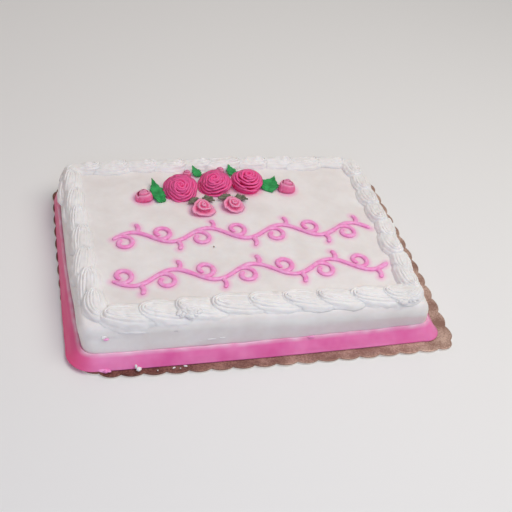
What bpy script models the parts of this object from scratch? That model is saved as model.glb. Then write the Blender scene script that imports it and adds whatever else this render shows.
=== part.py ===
"""A half sheet cake in white icing on its scalloped cake board.

A shell border runs round the top edge, a pink icing band round the foot, three roses with buds and leaves
lie at the back, and two rows of piped scrollwork cross the middle. Metres, +Z up. The origin is on the
board's underside, at the middle of its outline; +X runs along the long side and +Y away from the front.
"""

import math

import bmesh
import bpy
from mathutils import Matrix, Vector

MM = 0.001
CLEARANCE = 0.3 * MM  # between icing pieces that touch

# The board: 18 by 14 inches, with scallops an inch apart
BOARD_LENGTH = 457 * MM
BOARD_WIDTH = 356 * MM
BOARD_THICKNESS = 4 * MM
BOARD_CORNER_RADII = (25 * MM, 32 * MM, 20 * MM, 54 * MM)  # from the front right corner, anticlockwise
BOARD_BOW = 2.5 * MM
SCALLOP_COUNT = 62
SCALLOP_DEPTH = 3.6 * MM
SCALLOP_STEPS = 3

# The iced block: 16 by 12 inches, two inches tall with its icing
CAKE_LENGTH = 406 * MM
CAKE_WIDTH = 305 * MM
CAKE_HEIGHT = 46 * MM
CAKE_CENTRE = Vector((-11.5 * MM, 3.6 * MM, 0.0))
CORNER_RADII = (15 * MM, 9 * MM, 12 * MM, 9 * MM)  # from the front left corner, anticlockwise
SHOULDER_REACH = 9 * MM
SHOULDER_DROP = 15 * MM
SHOULDER_STEPS = 4
SIDE_BULGE = 2.8 * MM
FOOT_TWIST = math.radians(1.3)  # the foot of the icing is turned a little on the board
DOME_HEIGHT = 4.5 * MM
SIDE_STEPS = 9
CORNER_STEPS = 5

# The pink band round the foot: a leaning strip whose foot stands out by these amounts at the start and
# end of the front, right, back and left sides
BAND_HEIGHT = 15.5 * MM
BAND_FEET = ((13.5 * MM, 16 * MM), (14 * MM, 11 * MM), (10 * MM, 8 * MM), (7 * MM, 16.5 * MM))
BAND_CORNER_POINT = 0.25  # how much further the front right corner stands out than its neighbours
BAND_LIP = 2.6 * MM
BAND_WAVE = 0.8 * MM

# The shell border
SHELL_HEIGHT = 11.5 * MM
SHELL_PEAK = 0.16  # where a shell is fattest, as a share of its length
SHELL_TAIL = 0.6  # the tail's size, as a share of the head's
SHELL_ARC = 0.2  # how far its ends curve back at the sides, in shells
SHELL_BASE = 0.82  # the width of its foot, as a share of its widest
SHELL_RIDGE = 0.09
SHELL_LEAN = 0.06
SHELL_SIDES = 8
SHELL_PHASES = (0.0, 0.05, 0.16, 0.34, 0.56, 0.78)
BORDER_CORNER_RADIUS = 15 * MM
BORDER_CORNERS = (
    # inset of the runs' middle lines from the cake's two sides, anticlockwise from the front left corner
    (19 * MM, 18.5 * MM),
    (15.5 * MM, 18.5 * MM),
    (15.5 * MM, 14.5 * MM),
    (8.5 * MM, 9 * MM),
)
BORDER_RUNS = (
    # name, sag of the middle line towards the middle of the cake, half width, number of shells
    ("front", 7.5 * MM, 17.0 * MM, 9),
    ("right", 0.0, 14.5 * MM, 8),
    ("back", 2.0 * MM, 14.5 * MM, 10),
    ("left", 3.5 * MM, 15.0 * MM, 7),
)

# Piped scrollwork
STROKE_WIDTH = 5.2 * MM
STROKE_HEIGHT = 3.4 * MM
STROKE_STEP = 7.8 * MM

WHITE = (0.86, 0.83, 0.80)
BAND_PINK = (0.80, 0.16, 0.42)
SCROLL_PINK = (0.78, 0.25, 0.50)
ROSE_PINK = (0.85, 0.07, 0.24)
BUD_PINK = (0.80, 0.16, 0.30)
LEAF_GREEN = (0.02, 0.26, 0.09)
DARK_GREEN = (0.07, 0.12, 0.06)
BOARD_GOLD = (0.42, 0.29, 0.19)


def material(name, colour, roughness, metallic=0.0):
    """A plain Principled material."""
    made = bpy.data.materials.new(name)
    made.use_nodes = True
    shader = made.node_tree.nodes["Principled BSDF"]
    shader.inputs["Base Color"].default_value = (*colour, 1.0)
    shader.inputs["Roughness"].default_value = roughness
    shader.inputs["Metallic"].default_value = metallic
    return made


def add_object(name, bm, finish, smooth_angle=40):
    """Turns a bmesh into a named object with outward normals and smooth shading."""
    bmesh.ops.recalc_face_normals(bm, faces=bm.faces)
    mesh = bpy.data.meshes.new(name)
    bm.to_mesh(mesh)
    bm.free()
    mesh.shade_smooth()
    mesh.set_sharp_from_angle(angle=math.radians(smooth_angle))
    mesh.materials.append(finish)
    obj = bpy.data.objects.new(name, mesh)
    bpy.context.scene.collection.objects.link(obj)
    return obj


def loft(bm, rings, capped=True):
    """Skins closed rings of equal length. Uncapped rings join the last to the first."""
    rows = [[bm.verts.new(point) for point in ring] for ring in rings]
    count = len(rows[0])
    pairs = list(zip(rows, rows[1:]))
    if not capped:
        pairs.append((rows[-1], rows[0]))
    for low, high in pairs:
        for i in range(count):
            j = (i + 1) % count
            bm.faces.new((low[i], low[j], high[j], high[i]))
    if capped:
        bm.faces.new(reversed(rows[0]))
        bm.faces.new(rows[-1])
    return rows


def united(name, parts, finish):
    """Joins closed meshes into one solid with a single Boolean union, and removes the parts."""
    tools = bpy.data.collections.new(name + "_parts")
    bpy.context.scene.collection.children.link(tools)
    base, others = parts[0], parts[1:]
    for part in others:
        bpy.context.scene.collection.objects.unlink(part)
        tools.objects.link(part)
    union = base.modifiers.new("Union", "BOOLEAN")
    union.operation = "UNION"
    union.solver = "MANIFOLD"
    union.operand_type = "COLLECTION"
    union.collection = tools
    bpy.context.view_layer.update()
    graph = bpy.context.evaluated_depsgraph_get()
    mesh = bpy.data.meshes.new_from_object(base.evaluated_get(graph))
    for part in parts:
        bpy.data.objects.remove(part)
    bpy.data.collections.remove(tools)
    bm = bmesh.new()
    bm.from_mesh(mesh)
    bpy.data.meshes.remove(mesh)
    bmesh.ops.remove_doubles(bm, verts=bm.verts, dist=0.02 * MM)
    return add_object(name, bm, finish)


# The iced block and what follows its outline


def side_bulge(t):
    """How far a side stands out at t, from -1 at one corner to 1 at the next."""
    return SIDE_BULGE * (1 - t * t)


def outline():
    """Stations round the block, anticlockwise from the front left corner: (point, outward normal, side, t).

    t runs from -1 to 1 along a side, and from 1 to 3 round the corner that follows it."""
    half_x, half_y = CAKE_LENGTH / 2, CAKE_WIDTH / 2
    corners = [
        Vector((sx * (half_x - radius), sy * (half_y - radius), 0))
        for (sx, sy), radius in zip(((-1, -1), (1, -1), (1, 1), (-1, 1)), CORNER_RADII)
    ]
    stations = []
    for side in range(4):
        after = (side + 1) % 4
        normal = Matrix.Rotation(math.radians(90 * side), 3, "Z") @ Vector((0, -1, 0))
        begin = corners[side] + normal * CORNER_RADII[side]
        end = corners[after] + normal * CORNER_RADII[after]
        for k in range(1, SIDE_STEPS):
            t = 2 * k / SIDE_STEPS - 1
            stations.append((begin.lerp(end, k / SIDE_STEPS) + normal * side_bulge(t), normal, side, t))
        for k in range(CORNER_STEPS + 1):
            turned = Matrix.Rotation(math.radians(90 * k / CORNER_STEPS), 3, "Z") @ normal
            point = corners[after] + turned * CORNER_RADII[after]
            stations.append((point, turned, side, 1 + 2 * k / CORNER_STEPS))
    return stations


def foot_turned(point):
    """A point of the block's foot, turned with it."""
    return Matrix.Rotation(FOOT_TWIST, 3, "Z") @ point


def top_height(x, y):
    """Height of the iced top over the block's own centre at (x, y)."""
    across, along = 2 * x / CAKE_LENGTH, 2 * y / CAKE_WIDTH
    dome = max(0.0, 1 - across * across) * (1 - 0.35 * along * along)
    return BOARD_THICKNESS + CLEARANCE + CAKE_HEIGHT + DOME_HEIGHT * dome


def on_cake(points):
    """Moves points from the block's own frame to the board's."""
    return [Vector(point) + CAKE_CENTRE for point in points]


def make_cake(finish):
    """The iced block: straight walls, a rounded shoulder and a slightly domed top."""
    bm = bmesh.new()
    stations = outline()
    floor = BOARD_THICKNESS + CLEARANCE
    rings = [
        [foot_turned(point) + Vector((0, 0, floor + up)) for point, _, _, _ in stations]
        for up in (0.0, BAND_HEIGHT + 1 * MM)
    ]
    for step in range(SHOULDER_STEPS + 1):
        angle = math.radians(90 * step / SHOULDER_STEPS)
        ring = []
        for point, normal, _, _ in stations:
            inner = point - normal * SHOULDER_REACH
            spot = inner + normal * (SHOULDER_REACH * math.cos(angle))
            spot.z = top_height(inner.x, inner.y) - SHOULDER_DROP * (1 - math.sin(angle))
            ring.append(spot)
        rings.append(ring)
    for share in (0.66, 0.33):
        ring = []
        for point, normal, _, _ in stations:
            spot = (point - normal * SHOULDER_REACH) * share
            spot.z = top_height(spot.x, spot.y)
            ring.append(spot)
        rings.append(ring)
    rows = loft(bm, [on_cake(ring) for ring in rings])
    bmesh.ops.poke(bm, faces=[face for face in bm.faces if set(face.verts) == set(rows[-1])])
    middle = bm.verts[:][-1]
    middle.co = Vector((0, 0, top_height(0, 0))) + CAKE_CENTRE
    return add_object("cake", bm, finish)


def board_edge():
    """Points round the board's plain outline, half a millimetre apart: (point, outward normal)."""
    half_x = BOARD_LENGTH / 2 - SCALLOP_DEPTH
    half_y = BOARD_WIDTH / 2 - SCALLOP_DEPTH
    signs = ((1, -1), (1, 1), (-1, 1), (-1, -1))
    corners = [
        Vector((sx * (half_x - radius), sy * (half_y - radius), 0))
        for (sx, sy), radius in zip(signs, BOARD_CORNER_RADII)
    ]
    path = []
    for side in range(4):
        normal = Matrix.Rotation(math.radians(90 * side), 3, "Z") @ Vector((0, -1, 0))
        begin = corners[side - 1] + normal * BOARD_CORNER_RADII[side - 1]
        end = corners[side] + normal * BOARD_CORNER_RADII[side]
        steps = round((end - begin).length / (0.5 * MM))
        for k in range(steps):
            t = 2 * k / steps - 1
            path.append((begin.lerp(end, k / steps) - normal * BOARD_BOW * t * t, normal))
        radius = BOARD_CORNER_RADII[side]
        steps = round(math.pi / 2 * radius / (0.5 * MM))
        for k in range(steps):
            turned = Matrix.Rotation(math.pi / 2 * k / steps, 3, "Z") @ normal
            ease = BOARD_BOW * (abs(2 * k / steps - 1)) ** 0.5
            path.append((corners[side] + turned * (radius - ease), turned))
    return path


def make_board(finish):
    """The cake board: a rounded rectangle whose edge is a row of small arcs."""
    path = board_edge()
    bm = bmesh.new()
    verts = []
    for step in range(SCALLOP_COUNT * SCALLOP_STEPS):
        phase = step / SCALLOP_STEPS
        point, normal = path[int(len(path) * phase / SCALLOP_COUNT)]
        lobe = SCALLOP_DEPTH * math.sin(math.pi * (phase % 1)) ** 0.8
        verts.append(bm.verts.new(point + normal * lobe))
    underside = bm.faces.new(verts)
    raised = bmesh.ops.extrude_face_region(bm, geom=[underside])
    top = [item for item in raised["geom"] if isinstance(item, bmesh.types.BMVert)]
    bmesh.ops.translate(bm, verts=top, vec=(0, 0, BOARD_THICKNESS))
    return add_object("cake_board", bm, finish, smooth_angle=60)


def band_foot(side, t):
    """How far the band's foot stands out at a station of the outline."""
    first, last = BAND_FEET[side]
    if t <= 1:
        return first + (last - first) * ((t + 1) / 2) ** 2
    point = BAND_CORNER_POINT * math.sin(math.pi * (t - 1) / 2) if side == 0 else 0
    return (last + (BAND_FEET[(side + 1) % 4][0] - last) * (t - 1) / 2) * (1 + point)


def make_band(finish):
    """The pink band: a leaning strip of icing against the foot of the block."""
    floor = BOARD_THICKNESS + CLEARANCE
    rings = []
    for index, (point, normal, side, t) in enumerate(outline()):
        foot = band_foot(side, t)
        top = BAND_HEIGHT + BAND_WAVE * math.sin(index * 1.1) * math.cos(index * 0.43)
        section = (
            (0.4 * MM, 0.0),
            (foot, 0.0),
            (foot + 0.3 * MM, 1.4 * MM),
            (foot * 0.56 + BAND_LIP * 0.3, 0.52 * top),
            (BAND_LIP + 0.7 * MM, top - 0.8 * MM),
            (BAND_LIP - 0.5 * MM, top),
            (0.4 * MM, top - 1.2 * MM),
        )
        rings.append([foot_turned(point + normal * out) + Vector((0, 0, floor + up)) for out, up in section])
    bm = bmesh.new()
    loft(bm, [on_cake(ring) for ring in rings], capped=False)
    return add_object("pink_band", bm, finish)


# The shell border


def border_side(index):
    """(start, end, outward normal) of one side's middle line, anticlockwise."""
    ends = []
    for corner in (index, (index + 1) % 4):
        sx, sy = ((-1, -1), (1, -1), (1, 1), (-1, 1))[corner]
        inset_x, inset_y = BORDER_CORNERS[corner]
        ends.append(Vector((sx * (CAKE_LENGTH / 2 - inset_x), sy * (CAKE_WIDTH / 2 - inset_y), 0)))
    ahead = (ends[1] - ends[0]).normalized()
    return ends[0], ends[1], Vector((ahead.y, -ahead.x, 0))


def half_turn(corner):
    """Half the angle that the border turns by at a corner."""
    return border_side(corner - 1)[2].angle(border_side(corner)[2]) / 2


def straight_part(index):
    """(where it begins on the side's line, its length) for the part of a run between its corner arcs."""
    start, end, _ = border_side(index)
    begin = BORDER_CORNER_RADIUS * math.tan(half_turn(index))
    return begin, (end - start).length - begin - BORDER_CORNER_RADIUS * math.tan(half_turn((index + 1) % 4))


def border_point(index, distance):
    """(point, outward normal, half width) on side index, from the middle of its first corner's arc.

    Each run has half of the arc at either end, so it meets the next on the corner's bisector."""
    start, end, outward = border_side(index)
    ahead = (end - start).normalized()
    radius = BORDER_CORNER_RADIUS
    begin, straight = straight_part(index)
    first, last = half_turn(index), half_turn((index + 1) % 4)
    _, sag, width, _ = BORDER_RUNS[index]
    if distance < radius * first:
        before = BORDER_RUNS[index - 1][2]
        angle = first - distance / radius
        centre = start + ahead * begin - outward * radius
        normal = outward * math.cos(angle) - ahead * math.sin(angle)
        return centre + normal * radius, normal, width + (before - width) * angle / first / 2
    distance -= radius * first
    if distance <= straight:
        t = 2 * distance / straight - 1
        bow = outward * (side_bulge(t) - sag * (1 - t * t))
        return start + ahead * (begin + distance) + bow, outward, width
    after = BORDER_RUNS[(index + 1) % 4][2]
    angle = (distance - straight) / radius
    centre = start + ahead * (begin + straight) - outward * radius
    normal = outward * math.cos(angle) + ahead * math.sin(angle)
    return centre + normal * radius, normal, width + (after - width) * angle / last / 2


def run_length(index):
    """Length of one run, from the middle of one corner's arc to the middle of the next."""
    return straight_part(index)[1] + BORDER_CORNER_RADIUS * (half_turn(index) + half_turn((index + 1) % 4))


def shell_size(phase):
    """Size of a shell from its head, at 0, to its tail, at 1, as a share of the full size."""
    if phase < SHELL_PEAK:
        return SHELL_TAIL + (1 - SHELL_TAIL) * math.sin(math.pi / 2 * phase / SHELL_PEAK) ** 0.7
    fade = (phase - SHELL_PEAK) / (1 - SHELL_PEAK)
    return 1 - (1 - SHELL_TAIL) * fade**1.6


def make_border(index, finish):
    """One run of shells: each head is fat and covers the last one's tail, and ridges run along it."""
    name, _, _, count = BORDER_RUNS[index]
    length = run_length(index)
    rings = []
    last = (count, 0.0)
    for shell, phase in [(s, p) for s in range(count) for p in SHELL_PHASES] + [last]:
        size = shell_size(phase if shell < count else 1.0)
        lean = SHELL_LEAN * math.sin(2.3 * shell + index)
        ring = []
        for side in range(SHELL_SIDES + 1):
            angle = math.pi * side / SHELL_SIDES
            across, up = math.cos(angle), math.sin(angle)
            ridge = 1 + SHELL_RIDGE * (1 if side % 2 else -1)
            shift = SHELL_ARC * (across * across - 0.5)
            at_end = (shell == 0 and phase == 0.0) or shell == count
            distance = (shell + phase + (0 if at_end else shift * (1 - abs(2 * phase - 0.4)))) / count * length
            distance = min(max(distance, 2 * CLEARANCE), length - 2 * CLEARANCE)
            point, normal, half = border_point(index, distance)
            reach = across * (SHELL_BASE + (1 - SHELL_BASE) * math.sin(angle) ** 0.5)
            spot = point + normal * half * size * ridge * (reach + lean)
            base = top_height(point.x, point.y) + CLEARANCE
            spot.z = max(base + SHELL_HEIGHT * size**1.2 * ridge * up, top_height(spot.x, spot.y) + CLEARANCE)
            if side in (0, SHELL_SIDES):
                spot.z = top_height(spot.x, spot.y) + CLEARANCE
            ring.append(spot)
        rings.append(on_cake(ring))
    bm = bmesh.new()
    loft(bm, rings)
    return add_object("shell_border_" + name, bm, finish, smooth_angle=60)


# Roses, buds and leaves


def lobed(angle, count, turn):
    """Radius share of a row of overlapping petals: each starts tucked in and ends standing out."""
    phase = (angle * count / math.tau + turn) % 1
    return 0.93 + 0.10 * math.sin(math.pi * min(phase / 0.85, 1.0) / 2)


def flower(name, centre, radius, height, rows, sides, turn, finish, lean, facing, taper=0.0):
    """A rose or a bud: rows of petals whose lips stand up one inside the next.

    rows hold (share of the radius, share of the height, petals in that row). All but its foot leans over by
    lean, in degrees, towards facing. A bud tapers towards +Y."""
    x, y = centre
    rest = max(
        top_height(x + radius * math.cos(a), y + radius * math.sin(a))
        for a in (math.pi * k / 4 for k in range(8))
    )
    seat = Vector((x, y, rest + CLEARANCE)) + CAKE_CENTRE
    angle = math.radians(facing)
    leaned = Matrix.Rotation(math.radians(lean), 3, Vector((-math.sin(angle), math.cos(angle), 0)))
    rings = []
    for row, (share, up, petals) in enumerate(rows):
        ring = []
        for k in range(sides):
            angle = math.tau * k / sides
            reach = radius * share * (lobed(angle, petals, 0.37 * petals) if petals else 1)
            lift = height * up * (1 + (0.05 * math.cos(petals * angle + petals) if up else 0))
            along = math.sin(angle + turn) * reach
            across = math.cos(angle + turn) * reach * (1 - taper * along / radius)
            spot = Vector((across, along, lift))
            if row:
                spot = leaned @ spot
                spot.z = max(spot.z, row * PETAL_LIFT)
            ring.append(seat + spot)
        rings.append(ring)
    bm = bmesh.new()
    rows_made = loft(bm, rings)
    bmesh.ops.triangulate(bm, faces=[face for face in bm.faces if set(face.verts) == set(rows_made[-1])])
    return add_object(name, bm, finish, smooth_angle=60)


ROSE_ROWS = (
    (0.80, 0.00, 0),
    (0.99, 0.26, 5),
    (1.00, 0.42, 5),
    (0.94, 0.46, 5),
    (0.78, 0.34, 5),
    (0.81, 0.66, 4),
    (0.76, 0.70, 4),
    (0.58, 0.55, 4),
    (0.58, 0.87, 3),
    (0.52, 0.90, 3),
    (0.36, 0.74, 3),
    (0.32, 0.99, 2),
    (0.25, 1.00, 2),
    (0.11, 0.84, 2),
)
BUD_ROWS = (
    (0.66, 0.00, 0),
    (0.97, 0.30, 3),
    (1.00, 0.50, 3),
    (0.88, 0.55, 3),
    (0.68, 0.46, 3),
    (0.66, 0.84, 2),
    (0.52, 0.88, 2),
    (0.34, 0.74, 2),
    (0.26, 1.00, 0),
)
ROSE_SIDES = 20
BUD_SIDES = 12
PETAL_LIFT = 0.35 * MM  # the least rise from one row to the next where a flower leans onto the icing
ROSES = (
    # name, centre on the block, radius, height, turn, lean, facing
    ("rose_left", (-57 * MM, 83 * MM), 21 * MM, 20 * MM, 0.2, 28, -105),
    ("rose_middle", (-10.5 * MM, 91 * MM), 21 * MM, 19 * MM, 1.3, 20, -130),
    ("rose_right", (31.5 * MM, 91 * MM), 20 * MM, 20 * MM, 2.3, 6, -90),
)
BUDS = (
    # name, centre, radius, height, turn, lean, facing, taper
    ("bud_left", (-105 * MM, 73.5 * MM), 11 * MM, 12 * MM, 2.8, 8, -110, 0.3),
    ("bud_right", (82.5 * MM, 81 * MM), 11.4 * MM, 15 * MM, 0.2, 12, -90, 0.3),
    ("bud_front_left", (-36 * MM, 42.5 * MM), 13.6 * MM, 12 * MM, 1.2, 16, -60, 0.35),
    ("bud_front_right", (4 * MM, 47 * MM), 13.4 * MM, 10 * MM, 2.2, 16, -50, 0.2),
    ("bud_back_left", (-43 * MM, 119 * MM), 6.0 * MM, 9 * MM, 0.6, 0, 0, 0.0),
    ("bud_back_right", (2 * MM, 123 * MM), 6.0 * MM, 9 * MM, 1.9, 0, 0, 0.0),
)
LEAVES = (
    # name, foot, tip, width, height of the tip, dark
    ("leaf_left", (-84 * MM, 62 * MM), (-91.5 * MM, 104 * MM), 14 * MM, 7 * MM, False),
    ("leaf_right", (56 * MM, 77 * MM), (67 * MM, 104 * MM), 18 * MM, 5 * MM, False),
    ("leaf_back_left", (-27 * MM, 114 * MM), (-35 * MM, 128 * MM), 12 * MM, 8 * MM, False),
    ("leaf_back_right", (19 * MM, 114 * MM), (13 * MM, 128 * MM), 13 * MM, 8 * MM, False),
    ("leaf_dark_1", (-36 * MM, 63 * MM), (-51 * MM, 54 * MM), 9 * MM, 4 * MM, True),
    ("leaf_dark_2", (-30 * MM, 67 * MM), (-19 * MM, 56 * MM), 9 * MM, 4 * MM, True),
    ("leaf_dark_3", (6 * MM, 67 * MM), (-12 * MM, 60 * MM), 9 * MM, 5 * MM, True),
    ("leaf_dark_4", (12 * MM, 67 * MM), (24 * MM, 56 * MM), 8 * MM, 4 * MM, True),
)
LEAF_THICKNESS = 1.6 * MM
LEAF_STEPS = 6
LEAF_RIBS = 4


def make_leaf(name, foot, tip, width, rise, finish):
    """A piped leaf: a thin wavy blade with a mid fold, rising to its tip."""
    foot, tip = Vector((*foot, 0)), Vector((*tip, 0))
    ahead = (tip - foot).normalized()
    aside = Vector((-ahead.y, ahead.x, 0))
    length = (tip - foot).length
    rings = []
    for step in range(LEAF_STEPS):
        t = step / (LEAF_STEPS - 1)
        half = width / 2 * (0.42 + 0.58 * math.sin(math.pi * min(1.0, 0.18 + 0.82 * t) ** 1.15))
        half *= 1 - 0.86 * max(0.0, t - 0.55) / 0.45
        upper, lower = [], []
        for rib in range(LEAF_RIBS + 1):
            u = 2 * rib / LEAF_RIBS - 1
            wave = 0.7 * MM * math.sin(math.tau * 1.7 * t + 2 * u) * abs(u)
            lift = rise * t**1.5 + 1.8 * MM * abs(u) * (1 - t) + wave
            spot = foot + ahead * (length * t) + aside * (half * u)
            base = top_height(spot.x, spot.y) + CLEARANCE + 1.0 * MM
            upper.append(Vector((spot.x, spot.y, base + lift + LEAF_THICKNESS)))
            lower.append(Vector((spot.x, spot.y, base + lift)))
        rings.append(on_cake(upper + lower[::-1]))
    bm = bmesh.new()
    loft(bm, rings)
    return add_object(name, bm, finish)


# Piped scrollwork


def spiral(start, heading, radius, turns, hand, steps):
    """Points of a curl that leaves start along heading and winds inwards, hand +1 to the left."""
    centre = start + Vector((-math.sin(heading), math.cos(heading), 0)) * (hand * radius)
    begin = heading - hand * math.pi / 2
    points = []
    for step in range(steps + 1):
        t = step / steps
        angle = begin + hand * math.tau * turns * t
        reach = radius * (1 - 0.62 * t)
        points.append(centre + Vector((math.cos(angle), math.sin(angle), 0)) * reach)
    return points


def stroke(name, points, finish, width=STROKE_WIDTH):
    """A bead of icing with a flat foot and round back, along points on the block's top."""
    rings = []
    for index, point in enumerate(points):
        before = points[max(index - 1, 0)]
        after = points[min(index + 1, len(points) - 1)]
        ahead = (after - before).normalized()
        aside = Vector((ahead.y, -ahead.x, 0))
        end = min(index, len(points) - 1 - index)
        half = width / 2 * (0.55 if end == 0 else 1.0)
        tall = STROKE_HEIGHT * (0.55 if end == 0 else 1.0)
        section = ((-0.82, 0.0), (0.82, 0.0), (0.92, 0.52), (0.0, 1.0), (-0.92, 0.52))
        ring = []
        for across, up in section:
            spot = point + aside * (half * across)
            spot.z = top_height(spot.x, spot.y) + CLEARANCE + tall * up
            ring.append(spot)
        rings.append(on_cake(ring))
    bm = bmesh.new()
    loft(bm, rings)
    return add_object(name, bm, finish)


SCROLL_ROWS = (
    # name, start, end, half waves, height of the wave, first curl's side
    ("scroll_upper", (-152 * MM, -6 * MM), (172 * MM, -6 * MM), 7, 11 * MM, 1),
    ("scroll_lower", (-160 * MM, -79 * MM), (172 * MM, -74 * MM), 7, 11 * MM, -1),
)


def make_scroll(name, start, end, waves, swing, hand, finish):
    """A vine scroll: a waving stem with a curl in each hollow."""
    start, end = Vector((*start, 0)), Vector((*end, 0))
    ahead = (end - start).normalized()
    aside = Vector((-ahead.y, ahead.x, 0))
    length = (end - start).length
    steps = round(length * 1.15 / STROKE_STEP)

    def stem(t):
        return start + ahead * (length * t) + aside * (hand * swing * math.sin(math.pi * waves * t))

    parts = [stroke(name + "_stem", [stem(k / steps) for k in range(steps + 1)], finish)]
    for wave in range(waves):
        side = hand * (1 if wave % 2 == 0 else -1)
        t = (wave + 0.08) / waves
        here, there = stem(t), stem(t + 0.01)
        heading = math.atan2(there.y - here.y, there.x - here.x)
        curl = spiral(here, heading + side * 0.1, 13 * MM, 1.05, -side, 11)
        parts.append(stroke(f"{name}_curl_{wave}", curl, finish))
        t = (wave + 0.62) / waves
        here, there = stem(t), stem(t + 0.01)
        heading = math.atan2(there.y - here.y, there.x - here.x)
        sprig = spiral(here, heading + side * 0.7, 16 * MM, 0.2, side, 3)
        parts.append(stroke(f"{name}_sprig_{wave}", sprig, finish))
    return united(name, parts, finish)


def main():
    """Builds the cake and its board."""
    for obj in list(bpy.data.objects):
        bpy.data.objects.remove(obj)
    white = material("white_icing", WHITE, 0.5)
    rose = material("rose_icing", ROSE_PINK, 0.42)
    bud = material("bud_icing", BUD_PINK, 0.45)
    green = material("leaf_icing", LEAF_GREEN, 0.45)
    dark = material("dark_leaf_icing", DARK_GREEN, 0.5)
    scroll = material("scroll_icing", SCROLL_PINK, 0.42)
    make_board(material("gold_board", BOARD_GOLD, 0.45, 0.5))
    make_cake(white)
    make_band(material("pink_icing", BAND_PINK, 0.4))
    for index in range(len(BORDER_RUNS)):
        make_border(index, white)
    for name, centre, radius, height, turn, lean, facing in ROSES:
        flower(name, centre, radius, height, ROSE_ROWS, ROSE_SIDES, turn, rose, lean, facing)
    for name, centre, radius, height, turn, lean, facing, taper in BUDS:
        flower(name, centre, radius, height, BUD_ROWS, BUD_SIDES, turn, bud, lean, facing, taper)
    for name, foot, tip, width, rise, is_dark in LEAVES:
        make_leaf(name, foot, tip, width, rise, dark if is_dark else green)
    for row in SCROLL_ROWS:
        make_scroll(*row, scroll)


main()
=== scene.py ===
"""Dresses a sheet cake: the icing, its piping and flowers, the scalloped board, and the studio round it.

Metres, +Z up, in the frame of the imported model. Places on the cake are given from the middle of the iced
block.
"""

import logging
import math
from dataclasses import dataclass, field
from enum import Enum
from functools import partial
from typing import Any, Callable, Iterable, Sequence

import bmesh
import bpy
import numpy as np
from bmesh.types import BMesh
from bpy.types import Material, Node, NodeSocket, NodeTree, Object
from mathutils import Matrix, Vector, noise


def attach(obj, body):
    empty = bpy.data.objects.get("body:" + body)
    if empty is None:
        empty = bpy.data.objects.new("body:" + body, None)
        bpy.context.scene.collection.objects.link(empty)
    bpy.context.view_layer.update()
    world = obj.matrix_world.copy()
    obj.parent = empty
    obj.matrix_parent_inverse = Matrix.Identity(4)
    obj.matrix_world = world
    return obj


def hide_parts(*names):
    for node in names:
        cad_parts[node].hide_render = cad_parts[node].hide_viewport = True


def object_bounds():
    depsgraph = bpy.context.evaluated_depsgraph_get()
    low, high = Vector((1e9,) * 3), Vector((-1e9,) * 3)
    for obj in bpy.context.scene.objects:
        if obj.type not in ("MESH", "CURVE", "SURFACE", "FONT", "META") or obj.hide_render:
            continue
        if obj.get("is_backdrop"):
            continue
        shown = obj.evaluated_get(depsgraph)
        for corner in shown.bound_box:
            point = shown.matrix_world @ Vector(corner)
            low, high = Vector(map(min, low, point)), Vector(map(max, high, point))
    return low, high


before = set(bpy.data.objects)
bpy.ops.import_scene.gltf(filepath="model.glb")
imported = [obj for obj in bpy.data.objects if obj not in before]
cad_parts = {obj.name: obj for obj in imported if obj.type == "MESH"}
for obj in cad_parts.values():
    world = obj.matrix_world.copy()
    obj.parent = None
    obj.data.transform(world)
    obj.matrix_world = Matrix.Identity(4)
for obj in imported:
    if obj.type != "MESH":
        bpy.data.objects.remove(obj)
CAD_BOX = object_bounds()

LOG = logging.getLogger("sheet_cake")
MM = 0.001
ROOT = "root"  # the one body that the whole cake is
UP = Vector((0, 0, 1))
DOWN_RAY_START = 0.2  # metres above a place, clear of the whole cake
DOWN_RAY_LENGTH = 0.5
Adder = Callable[..., Node]
Seat = Callable[[Vector], Vector]


# Helpers for colours, nodes and meshes


def linear(code: str, alpha: float = 1.0) -> tuple[float, float, float, float]:
    """Turns an sRGB hex colour into linear light.

    Args:
        code: six hex digits after a hash.
        alpha: the fourth value.

    Returns:
        Linear red, green and blue, and alpha.
    """
    levels = [int(code[i : i + 2], 16) / 255 for i in (1, 3, 5)]
    red, green, blue = (v / 12.92 if v <= 0.04045 else ((v + 0.055) / 1.055) ** 2.4 for v in levels)
    return (red, green, blue, alpha)


def feed(node: Node, inputs: dict) -> None:
    """Gives a node's sockets their values and links.

    Args:
        node: the node.
        inputs: socket name or number to a value, a socket, or a node, whose first output feeds it.
    """
    for key, value in inputs.items():
        source = value.outputs[0] if isinstance(value, Node) else value
        if isinstance(source, NodeSocket):
            node.id_data.links.new(source, node.inputs[key])
        else:
            node.inputs[key].default_value = source


def add_node(tree: NodeTree, kind: str, inputs: dict | None = None, **settings: Any) -> Node:
    """Adds a node with its settings, socket values and links.

    Args:
        tree: the tree that gets the node.
        kind: the node's type name.
        inputs: what feed takes.
        settings: the node's own properties.

    Returns:
        The new node.
    """
    node = tree.nodes.new(kind)
    for name, value in settings.items():
        setattr(node, name, value)
    feed(node, inputs or {})
    return node


def new_finish(name: str) -> tuple[Material, Node, Adder]:
    """Starts a material.

    Args:
        name: the material's name.

    Returns:
        The material, its shader node, and the function that adds a node to it.
    """
    finish = bpy.data.materials.new(name)
    finish.use_nodes = True
    return finish, finish.node_tree.nodes["Principled BSDF"], partial(add_node, finish.node_tree)


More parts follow.
